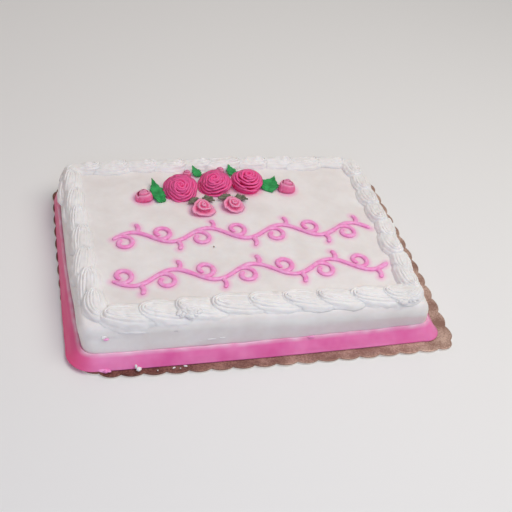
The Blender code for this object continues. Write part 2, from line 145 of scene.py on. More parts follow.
def new_tree(name: str, inputs: dict[str, str]) -> tuple[NodeTree, Any, Adder]:
    """Starts a Geometry Nodes tree with named inputs.

    Args:
        name: the tree's name.
        inputs: input name to socket type, without the NodeSocket prefix.

    Returns:
        The tree, the sockets of its inputs, and the function that adds a node to it.
    """
    tree = bpy.data.node_groups.new(name, "GeometryNodeTree")
    tree.interface.new_socket("Geometry", in_out="INPUT", socket_type="NodeSocketGeometry")
    for label, kind in inputs.items():
        tree.interface.new_socket(label, in_out="INPUT", socket_type="NodeSocket" + kind)
    tree.interface.new_socket("Geometry", in_out="OUTPUT", socket_type="NodeSocketGeometry")
    return tree, tree.nodes.new("NodeGroupInput").outputs, partial(add_node, tree)


def end_tree(tree: NodeTree, geometry: NodeSocket, finish: Material) -> None:
    """Ends a tree in Realize Instances, smooth shading and Set Material.

    Args:
        tree: the tree to end.
        geometry: the socket that holds the finished shape.
        finish: the material it gets.
    """
    real = add_node(tree, "GeometryNodeRealizeInstances", {0: geometry})
    smooth = add_node(tree, "GeometryNodeSetShadeSmooth", {0: real})
    dressed = add_node(tree, "GeometryNodeSetMaterial", {0: smooth, "Material": finish})
    add_node(tree, "NodeGroupOutput", {0: dressed})


def level_under(add: Adder, block: NodeSocket, place: Node) -> NodeSocket:
    """Finds how high the iced block stands under a place, by a ray from above.

    Args:
        add: adds a node to the tree.
        block: the socket that holds the block.
        place: the node that gives the place.

    Returns:
        The socket that holds the height.
    """
    above = add("ShaderNodeVectorMath", {0: place, 1: (0.0, 0.0, DOWN_RAY_START)}, operation="ADD")
    target = add("GeometryNodeObjectInfo", {"Object": block}, transform_space="RELATIVE").outputs["Geometry"]
    ray = {"Source Position": above, "Ray Direction": (0.0, 0.0, -1.0), "Ray Length": DOWN_RAY_LENGTH}
    fall = add("GeometryNodeRaycast", {"Target Geometry": target, **ray})
    return add("ShaderNodeSeparateXYZ", {0: fall.outputs["Hit Position"]}).outputs["Z"]


def new_object(name: str, data: Any) -> Object:
    """Puts a mesh, curve, camera or light into the scene.

    Args:
        name: the object's name.
        data: what it holds.

    Returns:
        The object, at the origin.
    """
    obj = bpy.data.objects.new(name, data)
    bpy.context.scene.collection.objects.link(obj)
    return obj


def guide_curve(name: str, lines: Iterable[Sequence[Vector]]) -> Object:
    """Draws lines as one flat curve, whose sections stand upright.

    Args:
        name: the curve's name.
        lines: the points of each line. Their heights are left out.

    Returns:
        The curve's object.
    """
    curve = bpy.data.curves.new(name, "CURVE")
    curve.dimensions = "3D"
    curve.twist_mode = "Z_UP"
    for line in lines:
        spline = curve.splines.new("POLY")
        spline.points.add(len(line) - 1)
        for point, place in zip(spline.points, line):
            point.co = (place.x, place.y, 0, 1)
    return new_object(name, curve)


def compass(angle: float) -> Vector:
    """The level direction at an angle from +X."""
    return Vector((math.cos(angle), math.sin(angle), 0))


def grown(obj: Object, tree: NodeTree, values: dict[str, Any]) -> Object:
    """Runs a tree on an object and keeps the result as a plain mesh object of the same name.

    Args:
        obj: the object that the tree starts from. It is removed.
        tree: the Geometry Nodes tree.
        values: input name to value.

    Returns:
        The new object.
    """
    modifier = obj.modifiers.new("Nodes", "NODES")
    modifier.node_group = tree
    for item in tree.interface.items_tree:
        if item.item_type == "SOCKET" and item.in_out == "INPUT" and item.name in values:
            modifier[item.identifier] = values[item.name]
    bpy.context.view_layer.update()
    graph = bpy.context.evaluated_depsgraph_get()
    mesh = bpy.data.meshes.new_from_object(obj.evaluated_get(graph))
    name = obj.name
    bpy.data.objects.remove(obj)
    mesh.name = name
    return new_object(name, mesh)


def mesh_object(name: str, bm: BMesh, finish: Material | None) -> Object:
    """Turns a bmesh into a smooth object at the origin, with its faces pointing outwards.

    Args:
        name: the object's name.
        bm: the mesh, which is freed.
        finish: its material, or None for a guide.

    Returns:
        The object.
    """
    bmesh.ops.recalc_face_normals(bm, faces=bm.faces)
    mesh = bpy.data.meshes.new(name)
    bm.to_mesh(mesh)
    bm.free()
    mesh.shade_smooth()
    if finish is not None:
        mesh.materials.append(finish)
    return new_object(name, mesh)


def loft(bm: BMesh, rings: Sequence[Sequence[Vector]], capped: bool = True) -> list[list[Any]]:
    """Skins closed rings of equal length.

    Args:
        bm: the mesh that gets the faces.
        rings: the rings, in order.
        capped: closes both ends; otherwise the last ring joins the first.

    Returns:
        The rings' vertices.
    """
    rows = [[bm.verts.new(point) for point in ring] for ring in rings]
    pairs = list(zip(rows, rows[1:]))
    if not capped:
        pairs.append((rows[-1], rows[0]))
    count = len(rows[0])
    for low, high in pairs:
        for i in range(count):
            j = (i + 1) % count
            bm.faces.new((low[i], low[j], high[j], high[i]))
    if capped:
        bm.faces.new(reversed(rows[0]))
        bm.faces.new(rows[-1])
    return rows


def wobble(point: Vector, size: float, seed: float = 0.0) -> float:
    """Smooth noise from -1 to 1 whose lumps are about size across.

    Args:
        point: where to read it.
        size: the width of a lump in metres.
        seed: shifts the pattern.

    Returns:
        The noise.
    """
    return noise.noise(Vector((point.x / size + seed, point.y / size - seed, point.z / size + 3.7 * seed)))


def waves(point: Vector, *layers: tuple[float, float, float]) -> float:
    """Adds up layers of smooth noise.

    Args:
        point: where to read them.
        layers: the height, the width of a lump and the seed of each.

    Returns:
        The sum in metres.
    """
    return sum(height * wobble(point, size, seed) for height, size, seed in layers)


def settle(piece: Object, slot: str, *nodes: str) -> None:
    """Makes a finished piece ride on the cake, and says what it stands for.

    Args:
        piece: the finished piece.
        slot: the record's material slot; not used.
        nodes: the solids that it replaces.
    """
    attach(piece, ROOT)
    if nodes:
        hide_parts(*nodes)
    stands_for = ", ".join(nodes) or "nothing"
    LOG.info("%s: %d faces, stands for %s", piece.name, len(piece.data.polygons), stands_for)


# Finishes


@dataclass(frozen=True)
class Buttercream:
    """Whipped shortening icing: an off-white fat foam, spread or piped, with a soft waxy sheen.

    Light sinks a few millimetres into it, so edges glow and shadows stay soft. Its surface has the drag lines
    of the spatula or the tip, and tiny burst bubbles.
    """

    name: str
    light: str
    shade: str
    roughness: float = 0.45
    depth: float = 2.5 * MM
    glow: float = 0.25
    mottle: float = 34 * MM
    drag: tuple[float, float, float] = (60 * MM, 4 * MM, 4 * MM)
    drag_height: float = 0.10 * MM
    grain: float = 1.3 * MM
    grain_height: float = 0.05 * MM
    coat: float = 0.0
    # A colour mixed in by a mesh attribute: pink bled into the white icing, and a painted highlight on the
    # band's top edge and the petals' lips.
    tint_and_highlight: str = ""
    tint_and_highlight_colour: str = "#FFFFFF"
    # A colour mixed in towards the left end, by X; on the band it is painted shade.
    left: str = ""
    painted_shade_span: tuple[float, float] = (-224 * MM, -192 * MM)

    def make(self) -> Material:
        """Builds the material.

        Returns:
            The material.
        """
        finish, shader, add = new_finish(self.name)
        place = add("ShaderNodeTexCoord").outputs["Object"]
        noise_size = {"Scale": 1 / self.mottle, "Detail": 3.0, "Roughness": 0.6}
        mottle = add("ShaderNodeTexNoise", {"Vector": place, **noise_size})
        spread = add("ShaderNodeMapRange", {"Value": mottle, "From Min": 0.34, "From Max": 0.66})
        layers = [(spread.outputs[0], self.shade)]
        # Painted shade: towards the left end the colour turns deeper.
        if self.left:
            across = add("ShaderNodeSeparateXYZ", {0: place}).outputs["X"]
            near, far = self.painted_shade_span
            span = {"From Min": near, "From Max": far, "To Min": 1.0, "To Max": 0.0}
            layers.append((add("ShaderNodeMapRange", {"Value": across, **span}).outputs[0], self.left))
        # Bled pink on the white icing; painted highlight on the band's top edge and the petals' lips.
        if self.tint_and_highlight:
            mark = add("ShaderNodeAttribute", attribute_name=self.tint_and_highlight)
            layers.append((mark.outputs["Fac"], self.tint_and_highlight_colour))
        colour = linear(self.light)
        for share, code in layers:
            mixed = {"Factor": share, "A": colour, "B": linear(code)}
            colour = add("ShaderNodeMix", mixed, data_type="RGBA").outputs["Result"]
        along = add("ShaderNodeMapping", {"Vector": place, "Scale": tuple(1 / size for size in self.drag)})
        drag = add("ShaderNodeTexNoise", {"Vector": along, "Scale": 1.0, "Detail": 2.0})
        noise_size = {"Scale": 1 / self.grain, "Detail": 4.0, "Roughness": 0.65}
        grain = add("ShaderNodeTexNoise", {"Vector": place, **noise_size})
        dragged = add("ShaderNodeBump", {"Height": drag, "Distance": self.drag_height, "Strength": 1.0})
        fine = {"Height": grain, "Distance": self.grain_height, "Strength": 1.0}
        bumped = add("ShaderNodeBump", {**fine, "Normal": dragged})
        duller = {"To Min": self.roughness - 0.06, "To Max": self.roughness + 0.08}
        sheen = add("ShaderNodeMapRange", {"Value": drag, "From Min": 0.3, "From Max": 0.7, **duller})
        feed(shader, {"Base Color": colour, "Normal": bumped, "Roughness": sheen, "IOR": 1.46})
        feed(shader, {"Subsurface Weight": self.glow, "Subsurface Radius": (1.0, 0.75, 0.6)})
        feed(shader, {"Subsurface Scale": self.depth, "Coat Weight": self.coat, "Coat Roughness": 0.22})
        return finish


@dataclass(frozen=True)
class FoilBoard:
    """Gold foil paper laminated on a cake board: embossed, with painted shade and reflection towards the
    left, and dull in stains.

    The foil throws back what stands on it, and its fine emboss breaks the reflection up.
    """

    name: str = "embossed_foil_paper"
    light: str = "#DDBEAE"
    shade: str = "#A98274"
    # Painted shade and reflection: the darker, browner tones of the foil's left end.
    painted_shade_light: str = "#9A6A5C"
    painted_shade_dark: str = "#643A33"
    stain: float = 24 * MM
    speckle: float = 1.6 * MM
    # Along X, the painted shade and reflection is full at the low end and gone at the high end.
    painted_shade_across: tuple[float, float] = (-150 * MM, 200 * MM)
    emboss: float = 2.6 * MM
    emboss_height: float = 0.14 * MM

    def make(self) -> Material:
        """Builds the material.

        Returns:
            The material.
        """
        finish, shader, add = new_finish(self.name)
        place = add("ShaderNodeTexCoord").outputs["Object"]
        stain = add("ShaderNodeTexNoise", {"Vector": place, "Scale": 1 / self.stain, "Detail": 5.0})
        fine = add("ShaderNodeTexNoise", {"Vector": place, "Scale": 1 / self.speckle, "Detail": 3.0})
        both = add("ShaderNodeMath", {0: stain, 1: fine, 2: 0.12}, operation="MULTIPLY_ADD")
        spread = add("ShaderNodeMapRange", {"Value": both, "From Min": 0.28, "From Max": 0.48})
        # Painted shade and reflection: towards the left the foil is mixed to the darker tones.
        across = add("ShaderNodeSeparateXYZ", {0: place}).outputs["X"]
        near, far = self.painted_shade_across
        painted_shade_across = add("ShaderNodeMapRange", {"Value": across, "From Min": near, "From Max": far})
        tones = []
        for shade, light in ((self.painted_shade_dark, self.painted_shade_light), (self.shade, self.light)):
            mixed = {"Factor": spread, "A": linear(shade), "B": linear(light)}
            tones.append(add("ShaderNodeMix", mixed, data_type="RGBA").outputs["Result"])
        colour = add("ShaderNodeMix", {"Factor": painted_shade_across, "A": tones[0], "B": tones[1]}, data_type="RGBA")
        embossed = {"Vector": place, "Scale": 1 / self.emboss}
        cells = add("ShaderNodeTexVoronoi", embossed, feature="DISTANCE_TO_EDGE")
        bump = add("ShaderNodeBump", {"Height": cells.outputs["Distance"], "Distance": self.emboss_height})
        duller = {"From Min": 0.3, "From Max": 0.7, "To Min": 0.34, "To Max": 0.52}
        dull = add("ShaderNodeMapRange", {"Value": stain, **duller})
        feed(shader, {"Base Color": colour.outputs["Result"], "Normal": bump})
        feed(shader, {"Roughness": dull, "Metallic": 0.55})
        return finish


@dataclass(frozen=True)
class Paper:
    """Bare card, matt with short fibres. Sponge crumbs are as dry and take it too.

    Its fibres scatter light every way, so it looks flat, with a faint mottle and no highlight.
    """

    name: str
    light: str
    shade: str
    fibre: float = 1.2 * MM
    fibre_height: float = 0.04 * MM

    def make(self) -> Material:
        """Builds the material.

        Returns:
            The material.
        """
        finish, shader, add = new_finish(self.name)
        place = add("ShaderNodeTexCoord").outputs["Object"]
        fibres = add("ShaderNodeTexNoise", {"Vector": place, "Scale": 1 / self.fibre, "Detail": 4.0})
        mixed = {"Factor": fibres, "A": linear(self.light), "B": linear(self.shade)}
        colour = add("ShaderNodeMix", mixed, data_type="RGBA")
        bump = add("ShaderNodeBump", {"Height": fibres, "Distance": self.fibre_height})
        feed(shader, {"Base Color": colour.outputs["Result"], "Normal": bump, "Roughness": 0.86})
        return finish


@dataclass(frozen=True)
class Pantry:
    """Every finish on the cake, made once."""

    white: Material
    border: Material
    band: Material
    rose: Material
    bud: Material
    leaf: Material
    shaded_leaf: Material
    scroll: Material
    foil: Material
    cut_edge: Material
    crumb: Material

    @staticmethod
    def stocked() -> "Pantry":
        """Makes the finishes.

        Returns:
            The finishes.
        """
        piped = (9 * MM, 9 * MM, 2.4 * MM)
        return Pantry(
            white=Buttercream(
                "white_buttercream_spread", "#F5F3F1", "#ECE8E5", tint_and_highlight="bleed", tint_and_highlight_colour="#F5A4D4"
            ).make(),
            border=Buttercream(
                "white_buttercream_piped", "#F9F7F7", "#F0EDEC", drag=piped, drag_height=0.26 * MM
            ).make(),
            # The band's pale top edge, marked by rim, is white smears and a painted highlight.
            band=Buttercream(
                "pink_buttercream_band", "#F88FC6", "#EC65AC", roughness=0.36, mottle=50 * MM,
                drag=(70 * MM, 70 * MM, 2.2 * MM), drag_height=0.12 * MM, coat=0.15, tint_and_highlight="rim",
                # left: painted shade, a deeper pink at the band's left end, which lies in shade.
                tint_and_highlight_colour="#FBDDEB", left="#F25590",
            ).make(),
            # On the roses and buds the lighter lip colour is a painted highlight on the petals' edges.
            rose=Buttercream(
                "rose_buttercream", "#FF4296", "#FF2E84", roughness=0.4, glow=0.15, mottle=9 * MM,
                drag=piped, drag_height=0.14 * MM, tint_and_highlight="lip", tint_and_highlight_colour="#FF64A8",
            ).make(),
            bud=Buttercream(
                "bud_buttercream", "#FF82B2", "#F25C96", mottle=7 * MM, drag=piped, tint_and_highlight="lip",
                tint_and_highlight_colour="#FFA6CA",
            ).make(),
            leaf=Buttercream(
                "leaf_buttercream", "#2FB25F", "#168A44", mottle=8 * MM, drag=piped, drag_height=0.2 * MM
            ).make(),
            # Painted shade: a darker grey-green leaf icing for the leaves that lie in the roses' shade.
            shaded_leaf=Buttercream(
                "dull_leaf_buttercream", "#7F8370", "#565C4A", mottle=6 * MM, drag=piped
            ).make(),
            scroll=Buttercream(
                "scroll_buttercream", "#FFB6E4", "#FF8FD2", roughness=0.38, glow=0.1, mottle=7 * MM,
                drag=piped, coat=0.1,
            ).make(),
            foil=FoilBoard().make(),
            cut_edge=Paper("cut_board_edge", "#FBF6EF", "#EADFD1").make(),
            crumb=Paper("sponge_crumb", "#9C6A4A", "#6E4630", fibre=0.8 * MM).make(),
        )


# The iced block's form, which everything on it follows


@dataclass(frozen=True)
class CakeForm:
    """Sizes of the iced block, and the functions that give its surface."""

    length: float = 406 * MM
    width: float = 305 * MM
    height: float = 46 * MM
    dome: float = 4.5 * MM
    bulge: float = 2.8 * MM
    radii: tuple[float, float, float, float] = (15 * MM, 10 * MM, 12 * MM, 10 * MM)
    shoulder: float = 9 * MM
    shoulder_drop: float = 15 * MM
    foot_twist: float = math.radians(1.3)
    floor: float = 4.3 * MM
    centre: Vector = field(default_factory=lambda: Vector((-11.5 * MM, 3.6 * MM, 0)))
    band_height: float = 15.5 * MM

    def top(self, x: float, y: float) -> float:
        """Height of the iced top at a place on the block.

        Args:
            x: the place along X, from the block's middle.
            y: the same along Y.

        Returns:
            The height above the table.
        """
        across, along = 2 * x / self.length, 2 * y / self.width
        dome = max(0.0, 1 - across * across) * (1 - 0.35 * along * along)
        return self.floor + self.height + self.dome * dome

    def side_bulge(self, t: float) -> float:
        """How far a side stands out at t, from -1 at one corner to 1 at the next."""
        return self.bulge * max(0.0, 1 - t * t)

    def wall(self, u: float, v: float) -> tuple[Vector, Vector]:
        """Finds a point of the plan outline.

        Args:
            u: place across, from -1 to 1.
            v: place along, from -1 to 1. One of the two is -1 or 1.

        Returns:
            The point and its outward normal.
        """
        a, b = self.length / 2, self.width / 2
        corner = {(-1, -1): 0, (1, -1): 1, (1, 1): 2, (-1, 1): 3}
        sx, sy = (1 if u > 0 else -1), (1 if v > 0 else -1)
        radius = self.radii[corner[(sx, sy)]]
        point = Vector((a * u, b * v, 0))
        hub = Vector((sx * (a - radius), sy * (b - radius), 0))
        past = point - hub
        if past.x * sx > 0 and past.y * sy > 0:
            normal = past.normalized()
            return hub + normal * radius, normal
        if abs(v) >= abs(u) * (1 - 1e-9) and abs(abs(v) - 1) < 1e-9:
            normal = Vector((0, sy, 0))
            return point + normal * self.side_bulge(point.x / (a - radius)), normal
        normal = Vector((sx, 0, 0))
        return point + normal * self.side_bulge(point.y / (b - radius)), normal

    def foot_turned(self, point: Vector) -> Vector:
        """A point of the block's foot, turned with it."""
        return Matrix.Rotation(self.foot_twist, 3, "Z") @ point

    def placed(self, points: Iterable[Vector]) -> list[Vector]:
        """Moves points from the block's own frame to the board's."""
        return [Vector(point) + self.centre for point in points]


def loop_of(nx: int, ny: int) -> list[tuple[int, int]]:
    """Grid indices round the edge of a grid, anticlockwise from its low corner.

    Args:
        nx: its cells along X.
        ny: its cells along Y.

    Returns:
        The pairs of indices.
    """
    return (
        [(i, 0) for i in range(nx)]
        + [(nx, j) for j in range(ny)]
        + [(i, ny) for i in range(nx, 0, -1)]
        + [(0, j) for j in range(ny, 0, -1)]
    )


@dataclass
class IcedBlock:
    """The block of cake under its spread coat of white icing."""

    form: CakeForm
    cell: float = 2.6 * MM
    wall_rings: int = 14
    shoulder_rings: int = 9
    strokes: list[list[Vector]] = field(default_factory=list)
    bleed_reach: float = 8.5 * MM
    stroke: float = 3.5  # how much longer than wide a spatula mark is
    slow: tuple[float, float, float] = (0.55 * MM, 70 * MM, 1.3)
    drag: tuple[tuple[float, float, float], ...] = ((0.22 * MM, 60 * MM, 4.1), (0.10 * MM, 22 * MM, 7.7))
    wall_lumps: tuple[float, float, float] = (0.45 * MM, 26 * MM, 9.1)
    blush: float = 0.03
    bleed_strength: float = 0.8
    batch: int = 4000  # points measured at a time

    def relief(self, point: Vector, on_top: float) -> float:
        """How far the hand-spread surface stands off its plain form.

        Args:
            point: a point of the plain form.
            on_top: 1 on the top, 0 on the walls.

        Returns:
            The distance outwards in metres.
        """
        swept = Vector((point.x, point.y * self.stroke, point.z * self.stroke))
        drag = waves(swept, *self.drag)
        wall = waves(Vector((point.x, point.y, point.z * 2)), self.wall_lumps)
        return waves(point, self.slow) + drag + (1 - on_top) * wall

    def build(self, finish: Material) -> Object:
        """Makes the block: a domed top in square cells, a rounded shoulder and leaning walls.

        Args:
            finish: its material.

        Returns:
            The finished piece, with the share of pink that has bled into each place.
        """
        form = self.form
        nx, ny = round(form.length / self.cell), round(form.width / self.cell)
        bm = bmesh.new()
        rows: list[list[Any]] = []
        for j in range(ny + 1):
            row = []
            for i in range(nx + 1):
                u, v = 2 * i / nx - 1, 2 * j / ny - 1
                reach = max(abs(u), abs(v))
                if reach == 0:
                    point = Vector((0, 0, 0))
                else:
                    edge, normal = form.wall(u / reach, v / reach)
                    point = (edge - normal * form.shoulder) * reach
                point.z = form.top(point.x, point.y)
                point.z += self.relief(point, 1.0)
                row.append(bm.verts.new(point))
            rows.append(row)
        for low, high in zip(rows, rows[1:]):
            for i in range(nx):
                bm.faces.new((low[i], low[i + 1], high[i + 1], high[i]))
        loop = loop_of(nx, ny)
        ring = [rows[j][i] for i, j in loop]
        for step in range(1, self.shoulder_rings + self.wall_rings + 1):
            lower = []
            for i, j in loop:
                u, v = 2 * i / nx - 1, 2 * j / ny - 1
                lower.append(bm.verts.new(self.side_point(u, v, step)))
            for k in range(len(loop)):
                after = (k + 1) % len(loop)
                bm.faces.new((ring[k], lower[k], lower[after], ring[after]))
            ring = lower
        bm.faces.new(ring)
        for vertex in bm.verts:
            vertex.co += form.centre
        piece = mesh_object("iced_block", bm, finish)
        self.stain(piece)
        return piece

    def side_point(self, u: float, v: float, step: int) -> Vector:
        """A point of the shoulder or wall, step rings down from the top's edge.

        Args:
            u: place across, from -1 to 1.
            v: place along, from -1 to 1.
            step: how many rings down it lies.

        Returns:
            The point.
        """
        form = self.form
        edge, normal = form.wall(u, v)
        inner = edge - normal * form.shoulder
        crown = form.top(inner.x, inner.y)
        if step <= self.shoulder_rings:
            angle = math.pi / 2 * (1 - step / self.shoulder_rings)
            point = inner + normal * (form.shoulder * math.cos(angle))
            point.z = crown - form.shoulder_drop * (1 - math.sin(angle))
            upright = step / self.shoulder_rings
        else:
            share = (step - self.shoulder_rings) / self.wall_rings
            straight = crown - form.shoulder_drop - form.floor
            height = straight * (1 - share)
            turn = min(1.0, (straight - height) / (straight - form.band_height - 1 * MM))
            point = edge.lerp(form.foot_turned(edge), turn)
            point.z = form.floor + height
            upright = 1.0
        stand = self.relief(point, 1 - upright)
        return point + (normal * upright + UP * (1 - upright)) * stand

    def stain(self, piece: Object) -> None:
        """Marks how much pink has bled from the piped strokes into the white beside them.

        Args:
            piece: the block's finished piece.
        """
        dots = np.array([point[:2] for stroke in self.strokes for point in stroke])
        mesh = piece.data
        places = np.empty(len(mesh.vertices) * 3)
        mesh.vertices.foreach_get("co", places)
        places = places.reshape(-1, 3)
        share = np.zeros(len(places))
        if len(dots):
            for begin in range(0, len(places), self.batch):
                part = places[begin : begin + self.batch, None, :2] - dots[None]
                near = np.sqrt((part**2).sum(2)).min(1)
                share[begin : begin + self.batch] = np.clip(1 - near / self.bleed_reach, 0, 1)
            share = self.bleed_strength * share**1.1 + self.blush
            share[places[:, 2] < self.form.height] = 0
        mark = mesh.attributes.new("bleed", "FLOAT", "POINT")
        mark.data.foreach_set("value", share)


@dataclass
class PinkBand:
    """The strip of pink icing that leans against the block's foot."""

    form: CakeForm
    lip: float = 2.6 * MM
    feet: tuple[tuple[float, float], ...] = (
        (13.5 * MM, 16 * MM), (14 * MM, 11 * MM), (10 * MM, 8 * MM), (7 * MM, 16.5 * MM),
    )
    corner_point: float = 0.25
    top_waves: tuple[tuple[float, float, float], ...] = ((1.0 * MM, 34 * MM, 2.2), (0.5 * MM, 8 * MM, 5.2))
    face_lumps: tuple[float, float, float] = (0.5 * MM, 16 * MM, 8.8)
    spacing: float = 3 * MM
    corner_steps: int = 12
    section_steps: int = 18

    def foot(self, side: int, t: float) -> float:
        """How far the foot stands out; t is -1 to 1 along a side, and to 3 round the corner after it.

        Args:
            side: which side, anticlockwise from the front.
            t: the place along it.

        Returns:
            The distance.
        """
        first, last = self.feet[side]
        if t <= 1:
            return first + (last - first) * ((t + 1) / 2) ** 2
        point = self.corner_point * math.sin(math.pi * (t - 1) / 2) if side == 0 else 0
        return (last + (self.feet[(side + 1) % 4][0] - last) * (t - 1) / 2) * (1 + point)

    def outline(self) -> list[tuple[Vector, Vector, int, float]]:
        """Stations round the block's foot: (point, normal, side, t), anticlockwise from the front.

        Returns:
            The stations.
        """
        form = self.form
        half = (form.length / 2, form.width / 2)
        hubs = [
            Vector((sx * (half[0] - r), sy * (half[1] - r), 0))
            for (sx, sy), r in zip(((-1, -1), (1, -1), (1, 1), (-1, 1)), form.radii)
        ]
        found = []
        for side in range(4):
            after = (side + 1) % 4
            normal = Matrix.Rotation(math.radians(90 * side), 3, "Z") @ Vector((0, -1, 0))
            begin = hubs[side] + normal * form.radii[side]
            end = hubs[after] + normal * form.radii[after]
            steps = round((end - begin).length / self.spacing)
            for k in range(1, steps):
                t = 2 * k / steps - 1
                found.append((begin.lerp(end, k / steps) + normal * form.side_bulge(t), normal, side, t))
            steps = self.corner_steps
            for k in range(steps + 1):
                turned = Matrix.Rotation(math.radians(90 * k / steps), 3, "Z") @ normal
                found.append((hubs[after] + turned * form.radii[after], turned, side, 1 + 2 * k / steps))
        return found

    def build(self, finish: Material) -> Object:
        """Makes the band: a smoothed slope with a wavy, thin top edge and a foot that meets the board.

        Args:
            finish: its material.

        Returns:
            The finished piece, with its top edge marked for a pale colour: white smears and a painted
            highlight.
        """
        bm = bmesh.new()
        painted_highlight_layer = bm.verts.layers.float.new("rim")
        rings = []
        painted_highlights = []
        for point, normal, side, t in self.outline():
            foot = self.foot(side, t)
            top = self.form.band_height + waves(point, *self.top_waves)
            ring, marks = [], []
            for out, up, rim in self.section(foot, top):
                stand = waves(point + UP * (up * 2), self.face_lumps) if rim >= 0 else 0
                spot = point + normal * (out + (stand if 0.3 * MM < up < top - 0.6 * MM else 0))
                ring.append(self.form.foot_turned(spot) + UP * (self.form.floor - 0.3 * MM + up))
                marks.append(max(rim, 0.0))
            rings.append(self.form.placed(ring))
            painted_highlights.append(marks)
        rows = loft(bm, rings, capped=False)
        for row, marks in zip(rows, painted_highlights):
            # Painted highlight, with white smears: a pale, streaky colour along the band's top edge.
            for vertex, mark in zip(row, marks):
                highlight_streak = 0.55 + 0.45 * wobble(vertex.co, 12 * MM, 6.1)
                vertex[painted_highlight_layer] = min(1.0, mark * highlight_streak)
        return mesh_object("pink_band_icing", bm, finish)

    def section(self, foot: float, top: float) -> list[tuple[float, float, float]]:
        """The band's section, from its foot at the wall, out, up the slope and back down the wall.

        Args:
            foot: how far the foot stands out.
            top: the height of the top edge.

        Returns:
            (distance out, height, share of the pale top-edge colour, which is white smears and a painted
            highlight); the share is -1 on the hidden side.
        """
        line = [(-1.0 * MM, 0.0, -1.0), (foot * 0.5, 0.0, -1.0), (foot - 0.5 * MM, 0.0, 0.0)]
        steps = self.section_steps
        for k in range(steps + 1):
            share = k / steps
            out = foot + 0.2 * MM + (self.lip - foot) * (share**0.82) + 0.9 * MM * math.sin(math.pi * share)
            line.append((out, 0.8 * MM + (top - 1.6 * MM) * share, max(0.0, (share - 0.80) / 0.20) * 0.9))
        line.append((self.lip - 0.3 * MM, top - 0.1 * MM, 1.0))
        line.append((self.lip - 1.2 * MM, top, 1.0))
        line.append((0.4 * MM, top - 0.9 * MM, 0.9))
        line.append((-1.0 * MM, top - 2.5 * MM, -1.0))
        return line


# The shell border


class Side(Enum):
    """The sides of the cake, anticlockwise from the front."""

    FRONT = 0
    RIGHT = 1
    BACK = 2
    LEFT = 3


@dataclass(frozen=True)
class ShellRun:
    """One side's row of shells."""

    side: Side
    sag: float
    half_width: float
    count: int


